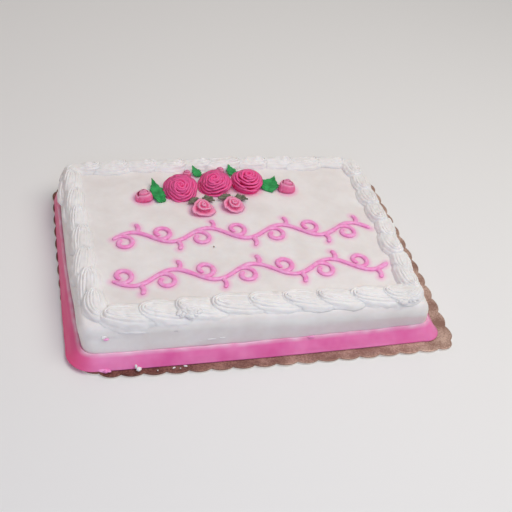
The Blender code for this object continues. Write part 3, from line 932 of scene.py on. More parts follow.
@dataclass
class ShellBorder:
    """Shells piped anticlockwise round the top edge with an open star tip."""

    form: CakeForm
    corner_radius: float = 15 * MM
    corners: tuple[tuple[float, float], ...] = (
        (19 * MM, 18.5 * MM), (15.5 * MM, 18.5 * MM), (15.5 * MM, 14.5 * MM), (12.5 * MM, 9 * MM),
    )
    runs: tuple[ShellRun, ...] = (
        ShellRun(Side.FRONT, 7.5 * MM, 17.0 * MM, 9), ShellRun(Side.RIGHT, 0.0, 14.5 * MM, 8),
        ShellRun(Side.BACK, 2.0 * MM, 14.5 * MM, 10), ShellRun(Side.LEFT, 3.5 * MM, 14.0 * MM, 7),
    )
    height: float = 11.5 * MM
    shell_length: float = 70 * MM
    shell_half_width: float = 16 * MM
    nominal_pitch: float = 42 * MM
    ridges: float = 4.0
    groove_depth: float = 0.26
    groove_turn: float = math.radians(215)
    core_reach: float = 0.55
    core_back: float = 2 * MM
    tail_fall: float = 0.62
    rim_drop: float = 1.5 * MM
    hidden_foot: float = 2.5 * MM
    curl: tuple[float, float] = (0.10, 0.03)
    rows: int = 30
    columns: int = 72
    path_step: float = 3 * MM
    lump: float = 8 * MM
    lump_height: float = 1.4 * MM
    sizes: tuple[tuple[float, ...], ...] = ((0.90, 0.88, 0.84), (1.10, 1.08, 1.16))
    turns: tuple[tuple[float, ...], ...] = ((-0.08, -0.04, -0.12), (0.08, 0.04, 0.10))
    lowest: float = 6 * MM

    def middle_line(self, run: int) -> tuple[Vector, Vector]:
        """Both ends of one side's middle line.

        Args:
            run: which side.

        Returns:
            The ends.
        """
        ends = []
        for corner in (run, (run + 1) % 4):
            sx, sy = ((-1, -1), (1, -1), (1, 1), (-1, 1))[corner]
            inset_x, inset_y = self.corners[corner]
            across, along = self.form.length / 2 - inset_x, self.form.width / 2 - inset_y
            ends.append(Vector((sx * across, sy * along, 0)))
        return ends[0], ends[1]

    def run_length(self, run: int) -> float:
        """Length of a run, from the middle of one corner's arc to the middle of the next."""
        start, end = self.middle_line(run)
        return (end - start).length - (2 - math.pi / 2) * self.corner_radius

    def point(self, run: int, distance: float) -> Vector:
        """A point on the middle line of a run. Past the run's end it goes on along the next.

        Args:
            run: which side.
            distance: how far along it.

        Returns:
            The point.
        """
        if distance > self.run_length(run):
            return self.point((run + 1) % 4, distance - self.run_length(run))
        start, end = self.middle_line(run)
        ahead = (end - start).normalized()
        outward = Vector((ahead.y, -ahead.x, 0))
        radius = self.corner_radius
        arc = math.pi * radius / 2
        straight = (end - start).length - 2 * radius
        if distance < arc / 2:
            angle = distance / radius + math.pi / 4
            hub = start + (ahead - outward) * radius
            return hub + (outward * math.sin(angle) - ahead * math.cos(angle)) * radius
        distance -= arc / 2
        if distance <= straight:
            t = 2 * distance / straight - 1
            bow = self.form.side_bulge(t) - self.runs[run].sag * (1 - t * t)
            return start + ahead * (radius + distance) + outward * bow
        angle = (distance - straight) / radius
        hub = end - (ahead + outward) * radius
        return hub + (outward * math.cos(angle) + ahead * math.sin(angle)) * radius

    def path(self, run: int, reach: float) -> Object:
        """The middle line as a curve that runs on by reach past its end.

        Args:
            run: which side.
            reach: how far it runs on.

        Returns:
            The curve's object.
        """
        total = self.run_length(run) + reach
        steps = round(total / self.path_step)
        line = [self.point(run, total * k / steps) for k in range(steps + 1)]
        return guide_curve("border_path", [self.form.placed(line)])

    def shell(self) -> Object:
        """One shell at its nominal size: a long dome, high at its head, whose ridges wind round the head.

        Returns:
            The shell, which is only a template.
        """
        middle, reach = self.shell_length / 2, self.shell_length / 2
        bm = bmesh.new()
        rings = []
        for i in range(self.rows + 1):
            share = (i / self.rows) ** 0.8
            ring = []
            for j in range(self.columns):
                turn = math.tau * j / self.columns
                cosine, sine = math.cos(turn), math.sin(turn)
                blunt = math.copysign(abs(cosine) ** 0.82, cosine)
                core = Vector((middle + self.core_reach * reach * cosine - self.core_back, 0, 0))
                half = self.shell_half_width * (0.94 - 0.12 * cosine)
                edge = Vector((middle + reach * blunt, half * math.copysign(abs(sine) ** 0.9, sine), 0))
                phase = self.ridges * share - turn / math.tau
                valley = (1 - abs(math.sin(math.pi * phase))) ** 1.6
                facing = 0.5 + 0.5 * math.cos(turn - self.groove_turn)
                weight = (0.25 + 0.75 * facing) * min(1.0, 4 * share)
                groove = valley * weight
                spot = core.lerp(edge, share * (1 - 0.05 * groove))
                fall = 1 - self.tail_fall * max(0.0, spot.x / self.shell_length) ** 1.1
                dome = max(0.0, 1 - share**2.6) ** 0.62
                rise = self.height * fall * (dome * (1 - self.groove_depth * groove))
                spot.z = rise - self.rim_drop * share**6
                spot.y -= self.curl[0 if spot.y < 0 else 1] * spot.x * spot.x / self.shell_length
                ring.append(spot)
            rings.append(ring)
        rings.append([Vector((spot.x, spot.y * 0.96, -self.hidden_foot)) for spot in rings[-1]])
        loft(bm, rings)
        bmesh.ops.remove_doubles(bm, verts=bm.verts, dist=0.01 * MM)
        return mesh_object("shell", bm, None)

    def tree(self, finish: Material) -> NodeTree:
        """The nodes that set shells in a row, vary them, bend them along the path and lay them on the icing.

        Args:
            finish: the shells' material.

        Returns:
            The tree.
        """
        numbers = dict.fromkeys(("Pitch", "Shell length", "Shell width", "Shell height"), "Float")
        inputs = {"Path": "Object", "Block": "Object", "Shells": "Int", **numbers, "Seed": "Int"}
        tree, given, add = new_tree("shell_row", inputs)
        step = add("ShaderNodeCombineXYZ", {"X": given["Pitch"]})
        line = add("GeometryNodeMeshLine", {"Count": given["Shells"], "Offset": step})
        sizes = {"X": given["Shell length"], "Y": given["Shell width"], "Z": given["Shell height"]}
        size = add("ShaderNodeCombineXYZ", sizes)
        vary, turn = (
            add("FunctionNodeRandomValue", {0: low, 1: high, "Seed": given["Seed"]}, data_type="FLOAT_VECTOR")
            for low, high in (self.sizes, self.turns)
        )
        scale = add("ShaderNodeVectorMath", {0: size, 1: vary}, operation="MULTIPLY")
        copies = {"Points": line, "Instance": given["Geometry"], "Rotation": turn, "Scale": scale}
        real = add("GeometryNodeRealizeInstances", {0: add("GeometryNodeInstanceOnPoints", copies)})
        where = add("GeometryNodeInputPosition")
        apart = add("ShaderNodeSeparateXYZ", {0: where}).outputs
        path = add("GeometryNodeObjectInfo", {"Object": given["Path"]}, transform_space="RELATIVE")
        sampled = {"Curves": path.outputs["Geometry"], "Length": apart["X"]}
        along = add("GeometryNodeSampleCurve", sampled, mode="LENGTH", use_all_curves=True).outputs
        square = {0: (0.0, 0.0, 1.0), 1: along["Tangent"]}
        inward = add("ShaderNodeVectorMath", square, operation="CROSS_PRODUCT")
        aside = add("ShaderNodeVectorMath", {0: inward, "Scale": apart["Y"]}, operation="SCALE")
        flat = add("ShaderNodeVectorMath", {0: along["Position"], 1: aside}, operation="ADD")
        level = level_under(add, given["Block"], flat)
        floor = self.form.floor + self.form.height - self.lowest
        seat = add("ShaderNodeMath", {0: level, 1: floor}, operation="MAXIMUM")
        top = add("ShaderNodeMath", {0: seat, 1: apart["Z"]}, operation="ADD")
        lift = add("ShaderNodeCombineXYZ", {"Z": top})
        spot = add("ShaderNodeVectorMath", {0: flat, 1: lift}, operation="ADD")
        bent = add("GeometryNodeSetPosition", {"Geometry": real, "Position": spot})
        lumps = add("ShaderNodeTexNoise", {"Vector": where, "Scale": 1 / self.lump, "Detail": 3.0})
        swing = {"From Min": 0.2, "From Max": 0.8, "To Min": -self.lump_height, "To Max": self.lump_height}
        swell = add("ShaderNodeMapRange", {"Value": lumps, **swing})
        outward = add("GeometryNodeInputNormal")
        push = add("ShaderNodeVectorMath", {0: outward, "Scale": swell}, operation="SCALE")
        lumpy = add("GeometryNodeSetPosition", {"Geometry": bent, "Offset": push})
        end_tree(tree, lumpy.outputs[0], finish)
        return tree

    def build(self, block: Object, finish: Material) -> dict[str, Object]:
        """Pipes all four rows.

        Args:
            block: the iced block that the shells lie on.
            finish: their material.

        Returns:
            Side name to its row.
        """
        tree = self.tree(finish)
        made = {}
        for run in self.runs:
            index = run.side.value
            pitch = self.run_length(index) / run.count
            guide = self.path(index, pitch)
            template = self.shell()
            template.name = "shells_" + run.side.name.lower()
            values = {
                "Path": guide, "Block": block, "Shells": run.count, "Pitch": pitch,
                "Shell length": pitch / self.nominal_pitch,
                "Shell width": 1.1 * run.half_width / self.shell_half_width, "Shell height": 1.0,
                "Seed": 11 + index,
            }
            made[run.side.name.lower()] = grown(template, tree, values)
            bpy.data.objects.remove(guide)
        return made


# Flowers and leaves


@dataclass(frozen=True)
class PetalRow:
    """One row of petals, as shares of the flower's radius and height."""

    count: int
    foot: float
    edge: float
    low: float
    high: float


@dataclass(frozen=True)
class Flower:
    """A piped flower's node, place, size and petals."""

    node: str
    x: float
    y: float
    radius: float
    height: float
    turn: float
    rows: tuple[PetalRow, ...]
    taper: float = 0.0
    lean: float = 0.0
    facing: float = -110.0


# Radius and height of a flower's core, from its hidden foot to its tip, as shares of the flower's own
CORE_PROFILE = (
    (0.70, -0.5), (0.72, 0.06), (0.62, 0.25), (0.48, 0.52), (0.30, 0.74), (0.14, 0.90), (0.04, 0.95),
)
ROSE_PETALS = (
    PetalRow(2, 0.05, 0.10, 0.55, 1.00), PetalRow(2, 0.14, 0.23, 0.50, 1.03),
    PetalRow(3, 0.24, 0.36, 0.44, 1.01), PetalRow(3, 0.35, 0.49, 0.36, 0.94),
    PetalRow(4, 0.46, 0.62, 0.28, 0.85), PetalRow(4, 0.57, 0.75, 0.18, 0.73),
    PetalRow(5, 0.67, 0.88, 0.08, 0.58), PetalRow(5, 0.76, 1.00, 0.00, 0.40),
)
CUP_PETALS = (
    PetalRow(2, 0.05, 0.10, 0.55, 1.00), PetalRow(2, 0.14, 0.24, 0.50, 1.03),
    PetalRow(3, 0.26, 0.40, 0.44, 1.00), PetalRow(3, 0.40, 0.56, 0.36, 0.92),
    PetalRow(3, 0.54, 0.74, 0.24, 0.80), PetalRow(3, 0.70, 0.90, 0.08, 0.66),
    PetalRow(3, 0.84, 1.00, 0.00, 0.50),
)
BUD_PETALS = (
    PetalRow(2, 0.26, 0.05, 0.10, 1.03), PetalRow(2, 0.56, 0.26, 0.00, 0.92),
    PetalRow(3, 0.84, 0.64, 0.00, 0.70),
)
ROSETTE_PETALS = (
    PetalRow(2, 0.08, 0.20, 0.40, 1.00), PetalRow(4, 0.30, 0.56, 0.20, 0.90),
    PetalRow(5, 0.50, 0.98, 0.02, 0.50),
)
FLOWERS = (
    Flower("rose_left", -57 * MM, 83 * MM, 21 * MM, 20 * MM, 0.2, ROSE_PETALS, 0.0, 28.0, -105.0),
    Flower("rose_middle", -10.5 * MM, 91 * MM, 21 * MM, 19 * MM, 1.3, ROSE_PETALS, 0.0, 20.0, -130.0),
    Flower("rose_right", 31.5 * MM, 91 * MM, 20 * MM, 20 * MM, 2.3, CUP_PETALS, 0.0, 6.0, -90.0),
    Flower("bud_left", -105 * MM, 73.5 * MM, 11.6 * MM, 12 * MM, 2.8, BUD_PETALS, 0.3, 8.0, 160.0),
    Flower("bud_right", 82.5 * MM, 81 * MM, 11.6 * MM, 15 * MM, 0.2, BUD_PETALS, 0.3, 8.0, 20.0),
    Flower("bud_front_left", -36 * MM, 42.5 * MM, 14 * MM, 12 * MM, 1.2, ROSETTE_PETALS, 0.35, 16.0, -60.0),
    Flower("bud_front_right", 4 * MM, 47 * MM, 13.4 * MM, 10 * MM, 2.2, ROSETTE_PETALS, 0.2, 16.0, -50.0),
    Flower("bud_back_left", -43 * MM, 119 * MM, 6.0 * MM, 9 * MM, 0.6, BUD_PETALS),
    Flower("bud_back_right", 2 * MM, 123 * MM, 6.0 * MM, 9 * MM, 1.9, BUD_PETALS),
)


@dataclass
class FlowerBed:
    """The roses and buds, piped petal by petal on a small cone."""

    form: CakeForm
    flowers: tuple[Flower, ...] = FLOWERS
    along: int = 14
    up: int = 7
    ring_points: int = 48
    ring_share: float = 0.9
    overlap: float = 1.45
    tuck: float = 0.06
    foot_thickness: float = 0.155
    lip_thinning: float = 0.05
    ruffles: tuple[tuple[float, float, float], ...] = ((0.030, 4.2, 3.0), (0.016, 9.1, 1.0))
    core_sides: int = 24

    def ring(self, flower: Flower) -> list[Vector]:
        """The flower's round foot on the icing, where its colour bleeds out.

        Args:
            flower: which one.

        Returns:
            Its points, in the board's frame.
        """
        turns = (math.tau * k / self.ring_points for k in range(self.ring_points))
        reach = self.ring_share * flower.radius
        middle = Vector((flower.x, flower.y, 0))
        return self.form.placed(middle + compass(turn) * reach for turn in turns)

    def seat(self, flower: Flower) -> Seat:
        """Gives the function that takes a point of the flower's own frame to the board's frame.

        Args:
            flower: which one.

        Returns:
            The function.
        """
        rest = max(
            self.form.top(flower.x + flower.radius * math.cos(a), flower.y + flower.radius * math.sin(a))
            for a in (math.pi * k / 4 for k in range(8))
        )
        place = Vector((flower.x, flower.y, rest)) + self.form.centre
        turned = Matrix.Rotation(flower.turn, 3, "Z")
        face = math.radians(flower.facing)
        hinge = Vector((-math.sin(face), math.cos(face), 0))
        leaned = Matrix.Rotation(math.radians(flower.lean), 3, hinge)

        def put(point: Vector) -> Vector:
            """Takes a point to the board's frame.

            Args:
                point: the point in the flower's own frame.

            Returns:
                The same point on the cake.
            """
            spot = turned @ point
            spot.x *= 1 - flower.taper * spot.y / flower.radius
            return place + leaned @ spot

        return put

    def petal(self, bm: BMesh, put: Seat, flower: Flower, row: PetalRow, turn: float) -> None:
        """Pipes one petal: a ribbon, thick at its foot and thin at its curled, ruffled lip.

        Args:
            bm: the mesh that gets it.
            put: the flower's seat.
            flower: the flower's sizes.
            row: the petal's row.
            turn: the angle of the petal's middle.
        """
        lip_highlight_layer = bm.verts.layers.float["lip"]
        span = math.tau / row.count * self.overlap
        radius, height = flower.radius, flower.height
        rings, marks = [], []
        for i in range(self.along + 1):
            u = 2 * i / self.along - 1
            angle = turn + span / 2 * u
            out = compass(angle)
            arch = max(0.0, 1 - abs(u) ** 2.4) ** 0.6
            ruffle = sum(size * math.sin(pace * u + shift * turn) for size, pace, shift in self.ruffles)
            tuck = self.tuck * u
            face, back, lip_highlights = [], [], []
            for k in range(self.up + 1):
                t = k / self.up
                rise = (row.high - row.low) * (0.78 + 0.22 * arch)
                rise = row.low + rise * math.sin(t * math.pi / 2) ** 0.9
                reach = row.foot + tuck + (row.edge - row.foot) * t**1.8 * (0.8 + 0.2 * arch) + ruffle * t * t
                thick = (self.foot_thickness - self.lip_thinning * t) * radius * (0.35 + 0.65 * arch)
                reach = max(reach * radius, 0.4 * MM)
                face.append(put(out * (reach + thick / 2) + UP * (rise * height - 0.25 * thick * t)))
                inner = max(reach - thick / 2, 0.1 * MM)
                back.append(put(out * inner + UP * (rise * height + 0.25 * thick * t)))
                # Painted highlight: the lighter lip colour grows towards the petal's edge.
                lip_highlights.append(t**3)
            rings.append(face + back[::-1])
            marks.append(lip_highlights + lip_highlights[::-1])
        rows = loft(bm, rings)
        for ring, lip_highlights in zip(rows, marks):
            for vertex, lip in zip(ring, lip_highlights):
                vertex[lip_highlight_layer] = lip

    def core(self, bm: BMesh, put: Seat, flower: Flower) -> None:
        """The cone of icing that the petals are piped on, with a swirl on its tip.

        Args:
            bm: the mesh that gets it.
            put: the flower's seat.
            flower: the flower's sizes.
        """
        rings = []
        for share, up in CORE_PROFILE:
            ring = []
            for k in range(self.core_sides):
                angle = math.tau * k / self.core_sides
                swirl = 1 + 0.10 * math.sin(2 * angle + 9 * up)
                reach = share * swirl * flower.radius
                x, y = math.cos(angle) * reach, math.sin(angle) * reach
                ring.append(put(Vector((x, y, up * flower.height))))
            rings.append(ring)
        loft(bm, rings)

    def build(self, flower: Flower, finish: Material) -> Object:
        """Pipes one flower.

        Args:
            flower: which one.
            finish: its material.

        Returns:
            The finished piece.
        """
        bm = bmesh.new()
        # The lip attribute carries the petals' painted highlight.
        bm.verts.layers.float.new("lip")
        put = self.seat(flower)
        self.core(bm, put, flower)
        for number, row in enumerate(flower.rows):
            for k in range(row.count):
                turn = math.tau * (k + 0.15 * math.sin(5 * k + number)) / row.count + number
                self.petal(bm, put, flower, row, turn)
        return mesh_object(flower.node + "_petals", bm, finish)


@dataclass(frozen=True)
class LeafPlan:
    """A piped leaf's node, its foot and tip on the block, its width and the rise of its tip."""

    node: str
    foot: tuple[float, float]
    tip: tuple[float, float]
    width: float
    rise: float
    dark: bool = False


LEAVES = (
    LeafPlan("leaf_left", (-84 * MM, 62 * MM), (-91.5 * MM, 104 * MM), 16.5 * MM, 7 * MM),
    LeafPlan("leaf_right", (55.5 * MM, 77 * MM), (71 * MM, 102.5 * MM), 22 * MM, 5 * MM),
    LeafPlan("leaf_back_left", (-27 * MM, 114 * MM), (-35 * MM, 128 * MM), 12 * MM, 8 * MM),
    LeafPlan("leaf_back_right", (19 * MM, 114 * MM), (13 * MM, 128 * MM), 13 * MM, 8 * MM),
    # The dark leaves lie in the roses' shade and get the darker leaf finish: painted shade.
    LeafPlan("leaf_dark_1", (-36 * MM, 63 * MM), (-52 * MM, 53 * MM), 12 * MM, 4 * MM, True),
    LeafPlan("leaf_dark_2", (-30 * MM, 67 * MM), (-18 * MM, 55 * MM), 12 * MM, 4 * MM, True),
    LeafPlan("leaf_dark_3", (6 * MM, 67 * MM), (-13 * MM, 59 * MM), 12 * MM, 5 * MM, True),
    LeafPlan("leaf_dark_4", (12 * MM, 67 * MM), (25 * MM, 55 * MM), 11 * MM, 4 * MM, True),
)


@dataclass
class LeafSpray:
    """The leaves, each pulled from a split tip: a ribbed blade with a groove down its middle."""

    form: CakeForm
    leaves: tuple[LeafPlan, ...] = LEAVES
    steps: int = 40
    ribs: int = 16
    thickness: float = 1.8 * MM
    teeth: float = 38.0
    tooth_depth: float = 0.09
    groove_depth: float = 0.7 * MM
    groove_width: float = 0.16
    vein_height: float = 0.4 * MM
    vein_slant: float = 7.0
    wave_height: float = 0.7 * MM
    wave_count: float = 1.7
    cup: float = 1.8 * MM
    stand: float = 0.6 * MM

    def build(self, leaf: LeafPlan, finish: Material) -> Object:
        """Pipes one leaf.

        Args:
            leaf: which one.
            finish: its material.

        Returns:
            The finished piece.
        """
        foot, tip = Vector((*leaf.foot, 0)), Vector((*leaf.tip, 0))
        ahead = (tip - foot).normalized()
        aside = Vector((-ahead.y, ahead.x, 0))
        length = (tip - foot).length
        rings = []
        for step in range(self.steps + 1):
            t = step / self.steps
            half = leaf.width / 2 * (0.42 + 0.58 * math.sin(math.pi * min(1.0, 0.18 + 0.82 * t) ** 1.15))
            half *= 1 - 0.9 * max(0.0, t - 0.55) / 0.45
            half *= 1 + self.tooth_depth * math.sin(self.teeth * t)
            over, under = [], []
            for rib in range(self.ribs + 1):
                u = 2 * rib / self.ribs - 1
                groove = -self.groove_depth * math.exp(-((u / self.groove_width) ** 2)) * (1 - t)
                slant = math.sin(self.teeth * t - self.vein_slant * abs(u))
                veins = self.vein_height * slant * min(1.0, 3 * abs(u)) * (1 - t)
                wave = self.wave_height * math.sin(math.tau * self.wave_count * t + 2 * u) * abs(u)
                lift = leaf.rise * t**1.5 + self.cup * abs(u) * (1 - t) + wave
                spot = foot + ahead * (length * t) + aside * (half * u)
                base = self.form.top(spot.x, spot.y) + self.stand
                thick = self.thickness * (1 - 0.45 * abs(u) ** 3)
                over.append(Vector((spot.x, spot.y, base + lift + thick + groove + veins)))
                under.append(Vector((spot.x, spot.y, base + lift - (0.8 * MM if abs(u) < 0.9 else 0))))
            rings.append(self.form.placed(over + under[::-1]))
        bm = bmesh.new()
        loft(bm, rings)
        return mesh_object(leaf.node + "_blade", bm, finish)


# Scrollwork


@dataclass(frozen=True)
class ScrollPlan:
    """One row of vine scroll: its two ends, its half waves, their height and the side of the first curl."""

    node: str
    start: tuple[float, float]
    end: tuple[float, float]
    waves: int
    swing: float
    hand: int


SCROLLS = (
    ScrollPlan("scroll_upper", (-152 * MM, -6 * MM), (172 * MM, -6 * MM), 7, 11 * MM, 1),
    ScrollPlan("scroll_lower", (-160 * MM, -79 * MM), (172 * MM, -74 * MM), 7, 11 * MM, -1),
)


@dataclass
class Scrollwork:
    """Two rows of vine scroll, piped with a plain round tip.

    Of each curl and sprig, curls gives the place on its half wave, the turn off the stem, the radius, the
    turns, the side and the steps.
    """

    form: CakeForm
    plans: tuple[ScrollPlan, ...] = SCROLLS
    width: float = 5.6 * MM
    height: float = 3.6 * MM
    step: float = 1.8 * MM
    blunt_end: float = 2.2 * MM
    pulse: float = 9 * MM
    lift: float = 0.34
    curls: tuple[tuple[float, float, float, float, int, int], ...] = (
        (0.08, 0.1, 13 * MM, 1.05, -1, 44), (0.62, 0.7, 16 * MM, 0.2, 1, 12),
    )

    @staticmethod
    def spiral(
        start: Vector, heading: float, radius: float, turns: float, hand: int, steps: int
    ) -> list[Vector]:
        """Points of a curl that leaves start along heading and winds inwards.

        Args:
            start: its first point.
            heading: its first direction, as an angle.
            radius: its first radius.
            turns: how many turns it makes.
            hand: 1 to wind left, -1 to wind right.
            steps: how many steps it takes.

        Returns:
            The points.
        """
        hub = start + Vector((-math.sin(heading), math.cos(heading), 0)) * (hand * radius)
        begin = heading - hand * math.pi / 2
        points = []
        for step in range(steps + 1):
            t = step / steps
            angle = begin + hand * math.tau * turns * t
            points.append(hub + compass(angle) * (radius * (1 - 0.62 * t)))
        return points

    def lines(self, plan: ScrollPlan) -> list[list[Vector]]:
        """The middle lines of a row's stem, curls and sprigs, in the board's frame.

        Args:
            plan: the row's plan.

        Returns:
            The points of each line.
        """
        start, end = Vector((*plan.start, 0)), Vector((*plan.end, 0))
        ahead = (end - start).normalized()
        aside = Vector((-ahead.y, ahead.x, 0))
        length = (end - start).length

        def stem(t: float) -> Vector:
            """The stem's point at a share of its length."""
            sway = plan.hand * plan.swing * math.sin(math.pi * plan.waves * t)
            return start + ahead * (length * t) + aside * sway

        def heading(t: float) -> float:
            """The stem's direction at a share of its length, as an angle."""
            step = stem(t + 0.01) - stem(t)
            return math.atan2(step.y, step.x)

        count = round(length * 1.15 / self.step)
        lines = [[stem(k / count) for k in range(count + 1)]]
        for wave in range(plan.waves):
            side = plan.hand * (1 if wave % 2 == 0 else -1)
            for place, swerve, radius, turns, hand, steps in self.curls:
                t = (wave + place) / plan.waves
                begin = heading(t) + side * swerve
                lines.append(self.spiral(stem(t), begin, radius, turns, hand * side, steps))
        return [self.form.placed(line) for line in lines]

    def tree(self, finish: Material) -> NodeTree:
        """The nodes that turn the lines into beads of icing lying on the block.

        Args:
            finish: the beads' material.

        Returns:
            The tree.
        """
        numbers = dict.fromkeys(("Bead width", "Bead height", "Seed"), "Float")
        tree, given, add = new_tree("icing_bead", {"Block": "Object", **numbers})
        share = add("GeometryNodeSplineParameter").outputs["Length"]
        run = add("GeometryNodeSplineLength").outputs["Length"]
        rest = add("ShaderNodeMath", {0: run, 1: share}, operation="SUBTRACT")
        near = add("ShaderNodeMath", {0: share, 1: rest}, operation="MINIMUM")
        ends = {"From Max": self.blunt_end, "To Min": 0.35, "To Max": 1.0}
        blunt = add("ShaderNodeMapRange", {"Value": near, **ends}, interpolation_type="SMOOTHSTEP")
        where = add("GeometryNodeInputPosition")
        beat = {"W": given["Seed"], "Scale": 1 / self.pulse, "Detail": 2.0}
        pulse = add("ShaderNodeTexNoise", {"Vector": where, **beat}, noise_dimensions="4D")
        swing = {"From Min": 0.3, "From Max": 0.7, "To Min": 0.80, "To Max": 1.12}
        swell = add("ShaderNodeMapRange", {"Value": pulse, **swing})
        size = add("ShaderNodeMath", {0: blunt, 1: swell}, operation="MULTIPLY")
        radius = add("GeometryNodeSetCurveRadius", {0: given["Geometry"], "Radius": size})
        ring = add("GeometryNodeCurvePrimitiveCircle", {"Resolution": 14, "Radius": 0.5})
        form = add("ShaderNodeCombineXYZ", {"X": given["Bead width"], "Y": given["Bead height"], "Z": 1.0})
        section = add("GeometryNodeTransform", {"Geometry": ring, "Scale": form})
        swept = {"Curve": radius, "Profile Curve": section, "Scale": size, "Fill Caps": True}
        bead = add("GeometryNodeCurveToMesh", swept)
        apart = add("ShaderNodeSeparateXYZ", {0: where}).outputs
        level = level_under(add, given["Block"], where)
        lift = add("ShaderNodeMath", {0: given["Bead height"], 1: self.lift}, operation="MULTIPLY")
        sunk = add("ShaderNodeMath", {0: apart["Z"], 1: lift}, operation="ADD")
        raised = add("ShaderNodeMath", {0: level, 1: sunk}, operation="ADD")
        spot = add("ShaderNodeCombineXYZ", {"X": apart["X"], "Y": apart["Y"], "Z": raised})
        laid = add("GeometryNodeSetPosition", {"Geometry": bead, "Position": spot})
        end_tree(tree, laid.outputs[0], finish)
        return tree

    def build(self, block: Object, finish: Material) -> dict[str, Object]:
        """Pipes both rows.

        Args:
            block: the iced block that the beads lie on.
            finish: their material.

        Returns:
            Node name to its row.
        """
        tree = self.tree(finish)
        made = {}
        for number, plan in enumerate(self.plans):
            guide = guide_curve(plan.node + "_beads", self.lines(plan))
            bead = {"Bead width": self.width, "Bead height": self.height}
            made[plan.node] = grown(guide, tree, {"Block": block, **bead, "Seed": 3.0 + number})
        return made


# The board


@dataclass
class CakeBoard:
    """A scalloped board: a die-cut card, pale where it is cut, under foil paper that wraps its upper rim."""

    length: float = 457 * MM
    width: float = 356 * MM
    thickness: float = 4 * MM
    radii: tuple[float, float, float, float] = (25 * MM, 32 * MM, 20 * MM, 54 * MM)
    bow: float = 2.5 * MM
    scallops: int = 62
    scallop_depth: float = 3.6 * MM
    scallop_steps: int = 16
    spacing: float = 0.5 * MM
    card: float = 2.0 * MM
    soft: float = 0.2 * MM

    def edge(self) -> list[tuple[Vector, Vector]]:
        """Points round the plain outline, half a millimetre apart, with their outward normals.

        Returns:
            The points and normals, anticlockwise.
        """
        half_x = self.length / 2 - self.scallop_depth
        half_y = self.width / 2 - self.scallop_depth
        signs = ((1, -1), (1, 1), (-1, 1), (-1, -1))
        hubs = [Vector((sx * (half_x - r), sy * (half_y - r), 0)) for (sx, sy), r in zip(signs, self.radii)]
        path = []
        for side in range(4):
            normal = Matrix.Rotation(math.radians(90 * side), 3, "Z") @ Vector((0, -1, 0))
            begin = hubs[side - 1] + normal * self.radii[side - 1]
            end = hubs[side] + normal * self.radii[side]
            steps = round((end - begin).length / self.spacing)
            for k in range(steps):
                t = 2 * k / steps - 1
                path.append((begin.lerp(end, k / steps) - normal * self.bow * t * t, normal))
            steps = round(math.pi / 2 * self.radii[side] / self.spacing)
            for k in range(steps):
                turned = Matrix.Rotation(math.pi / 2 * k / steps, 3, "Z") @ normal
                ease = self.bow * abs(2 * k / steps - 1) ** 0.5
                path.append((hubs[side] + turned * (self.radii[side] - ease), turned))
        return path

    def rim(self, inset: float = 0.0) -> list[Vector]:
        """The scalloped outline, drawn in by inset.

        Args:
            inset: how far.

        Returns:
            Its points.
        """
        path = self.edge()
        points = []
        for step in range(self.scallops * self.scallop_steps):
            phase = step / self.scallop_steps
            point, normal = path[int(len(path) * phase / self.scallops)]
            lobe = self.scallop_depth * math.sin(math.pi * (phase % 1)) ** 0.8
            points.append(point + normal * (lobe - inset))
        return points

    def sheet(self, name: str, low: float, high: float, finish: Material) -> Object:
        """One layer of the board, with slightly rounded edges.

        Args:
            name: the piece's name.
            low: height of its underside.
            high: height of its face.
            finish: its material.

        Returns:
            The finished piece.
        """
        soft = self.soft
        rings = []
        for inset, height in ((soft, low), (0, low + soft), (0, high - soft), (soft, high), (6 * soft, high)):
            rings.append([point + UP * height for point in self.rim(inset)])
        bm = bmesh.new()
        loft(bm, rings)
        bmesh.ops.triangulate(bm, faces=[face for face in bm.faces if len(face.verts) > 4])
        return mesh_object(name, bm, finish)


# Crumbs and dabs

# Where crumbs fall: low x, low y, high x, high y and height, in the board's frame
BOARD_STRIPS = (
    (-170 * MM, -175 * MM, -60 * MM, -163 * MM, 4.3 * MM), (204 * MM, -120 * MM, 220 * MM, 60 * MM, 4.3 * MM),
)
TOP_STRIP = ((-47 * MM, -27.2 * MM, -46 * MM, -26.2 * MM, 55.2 * MM),)


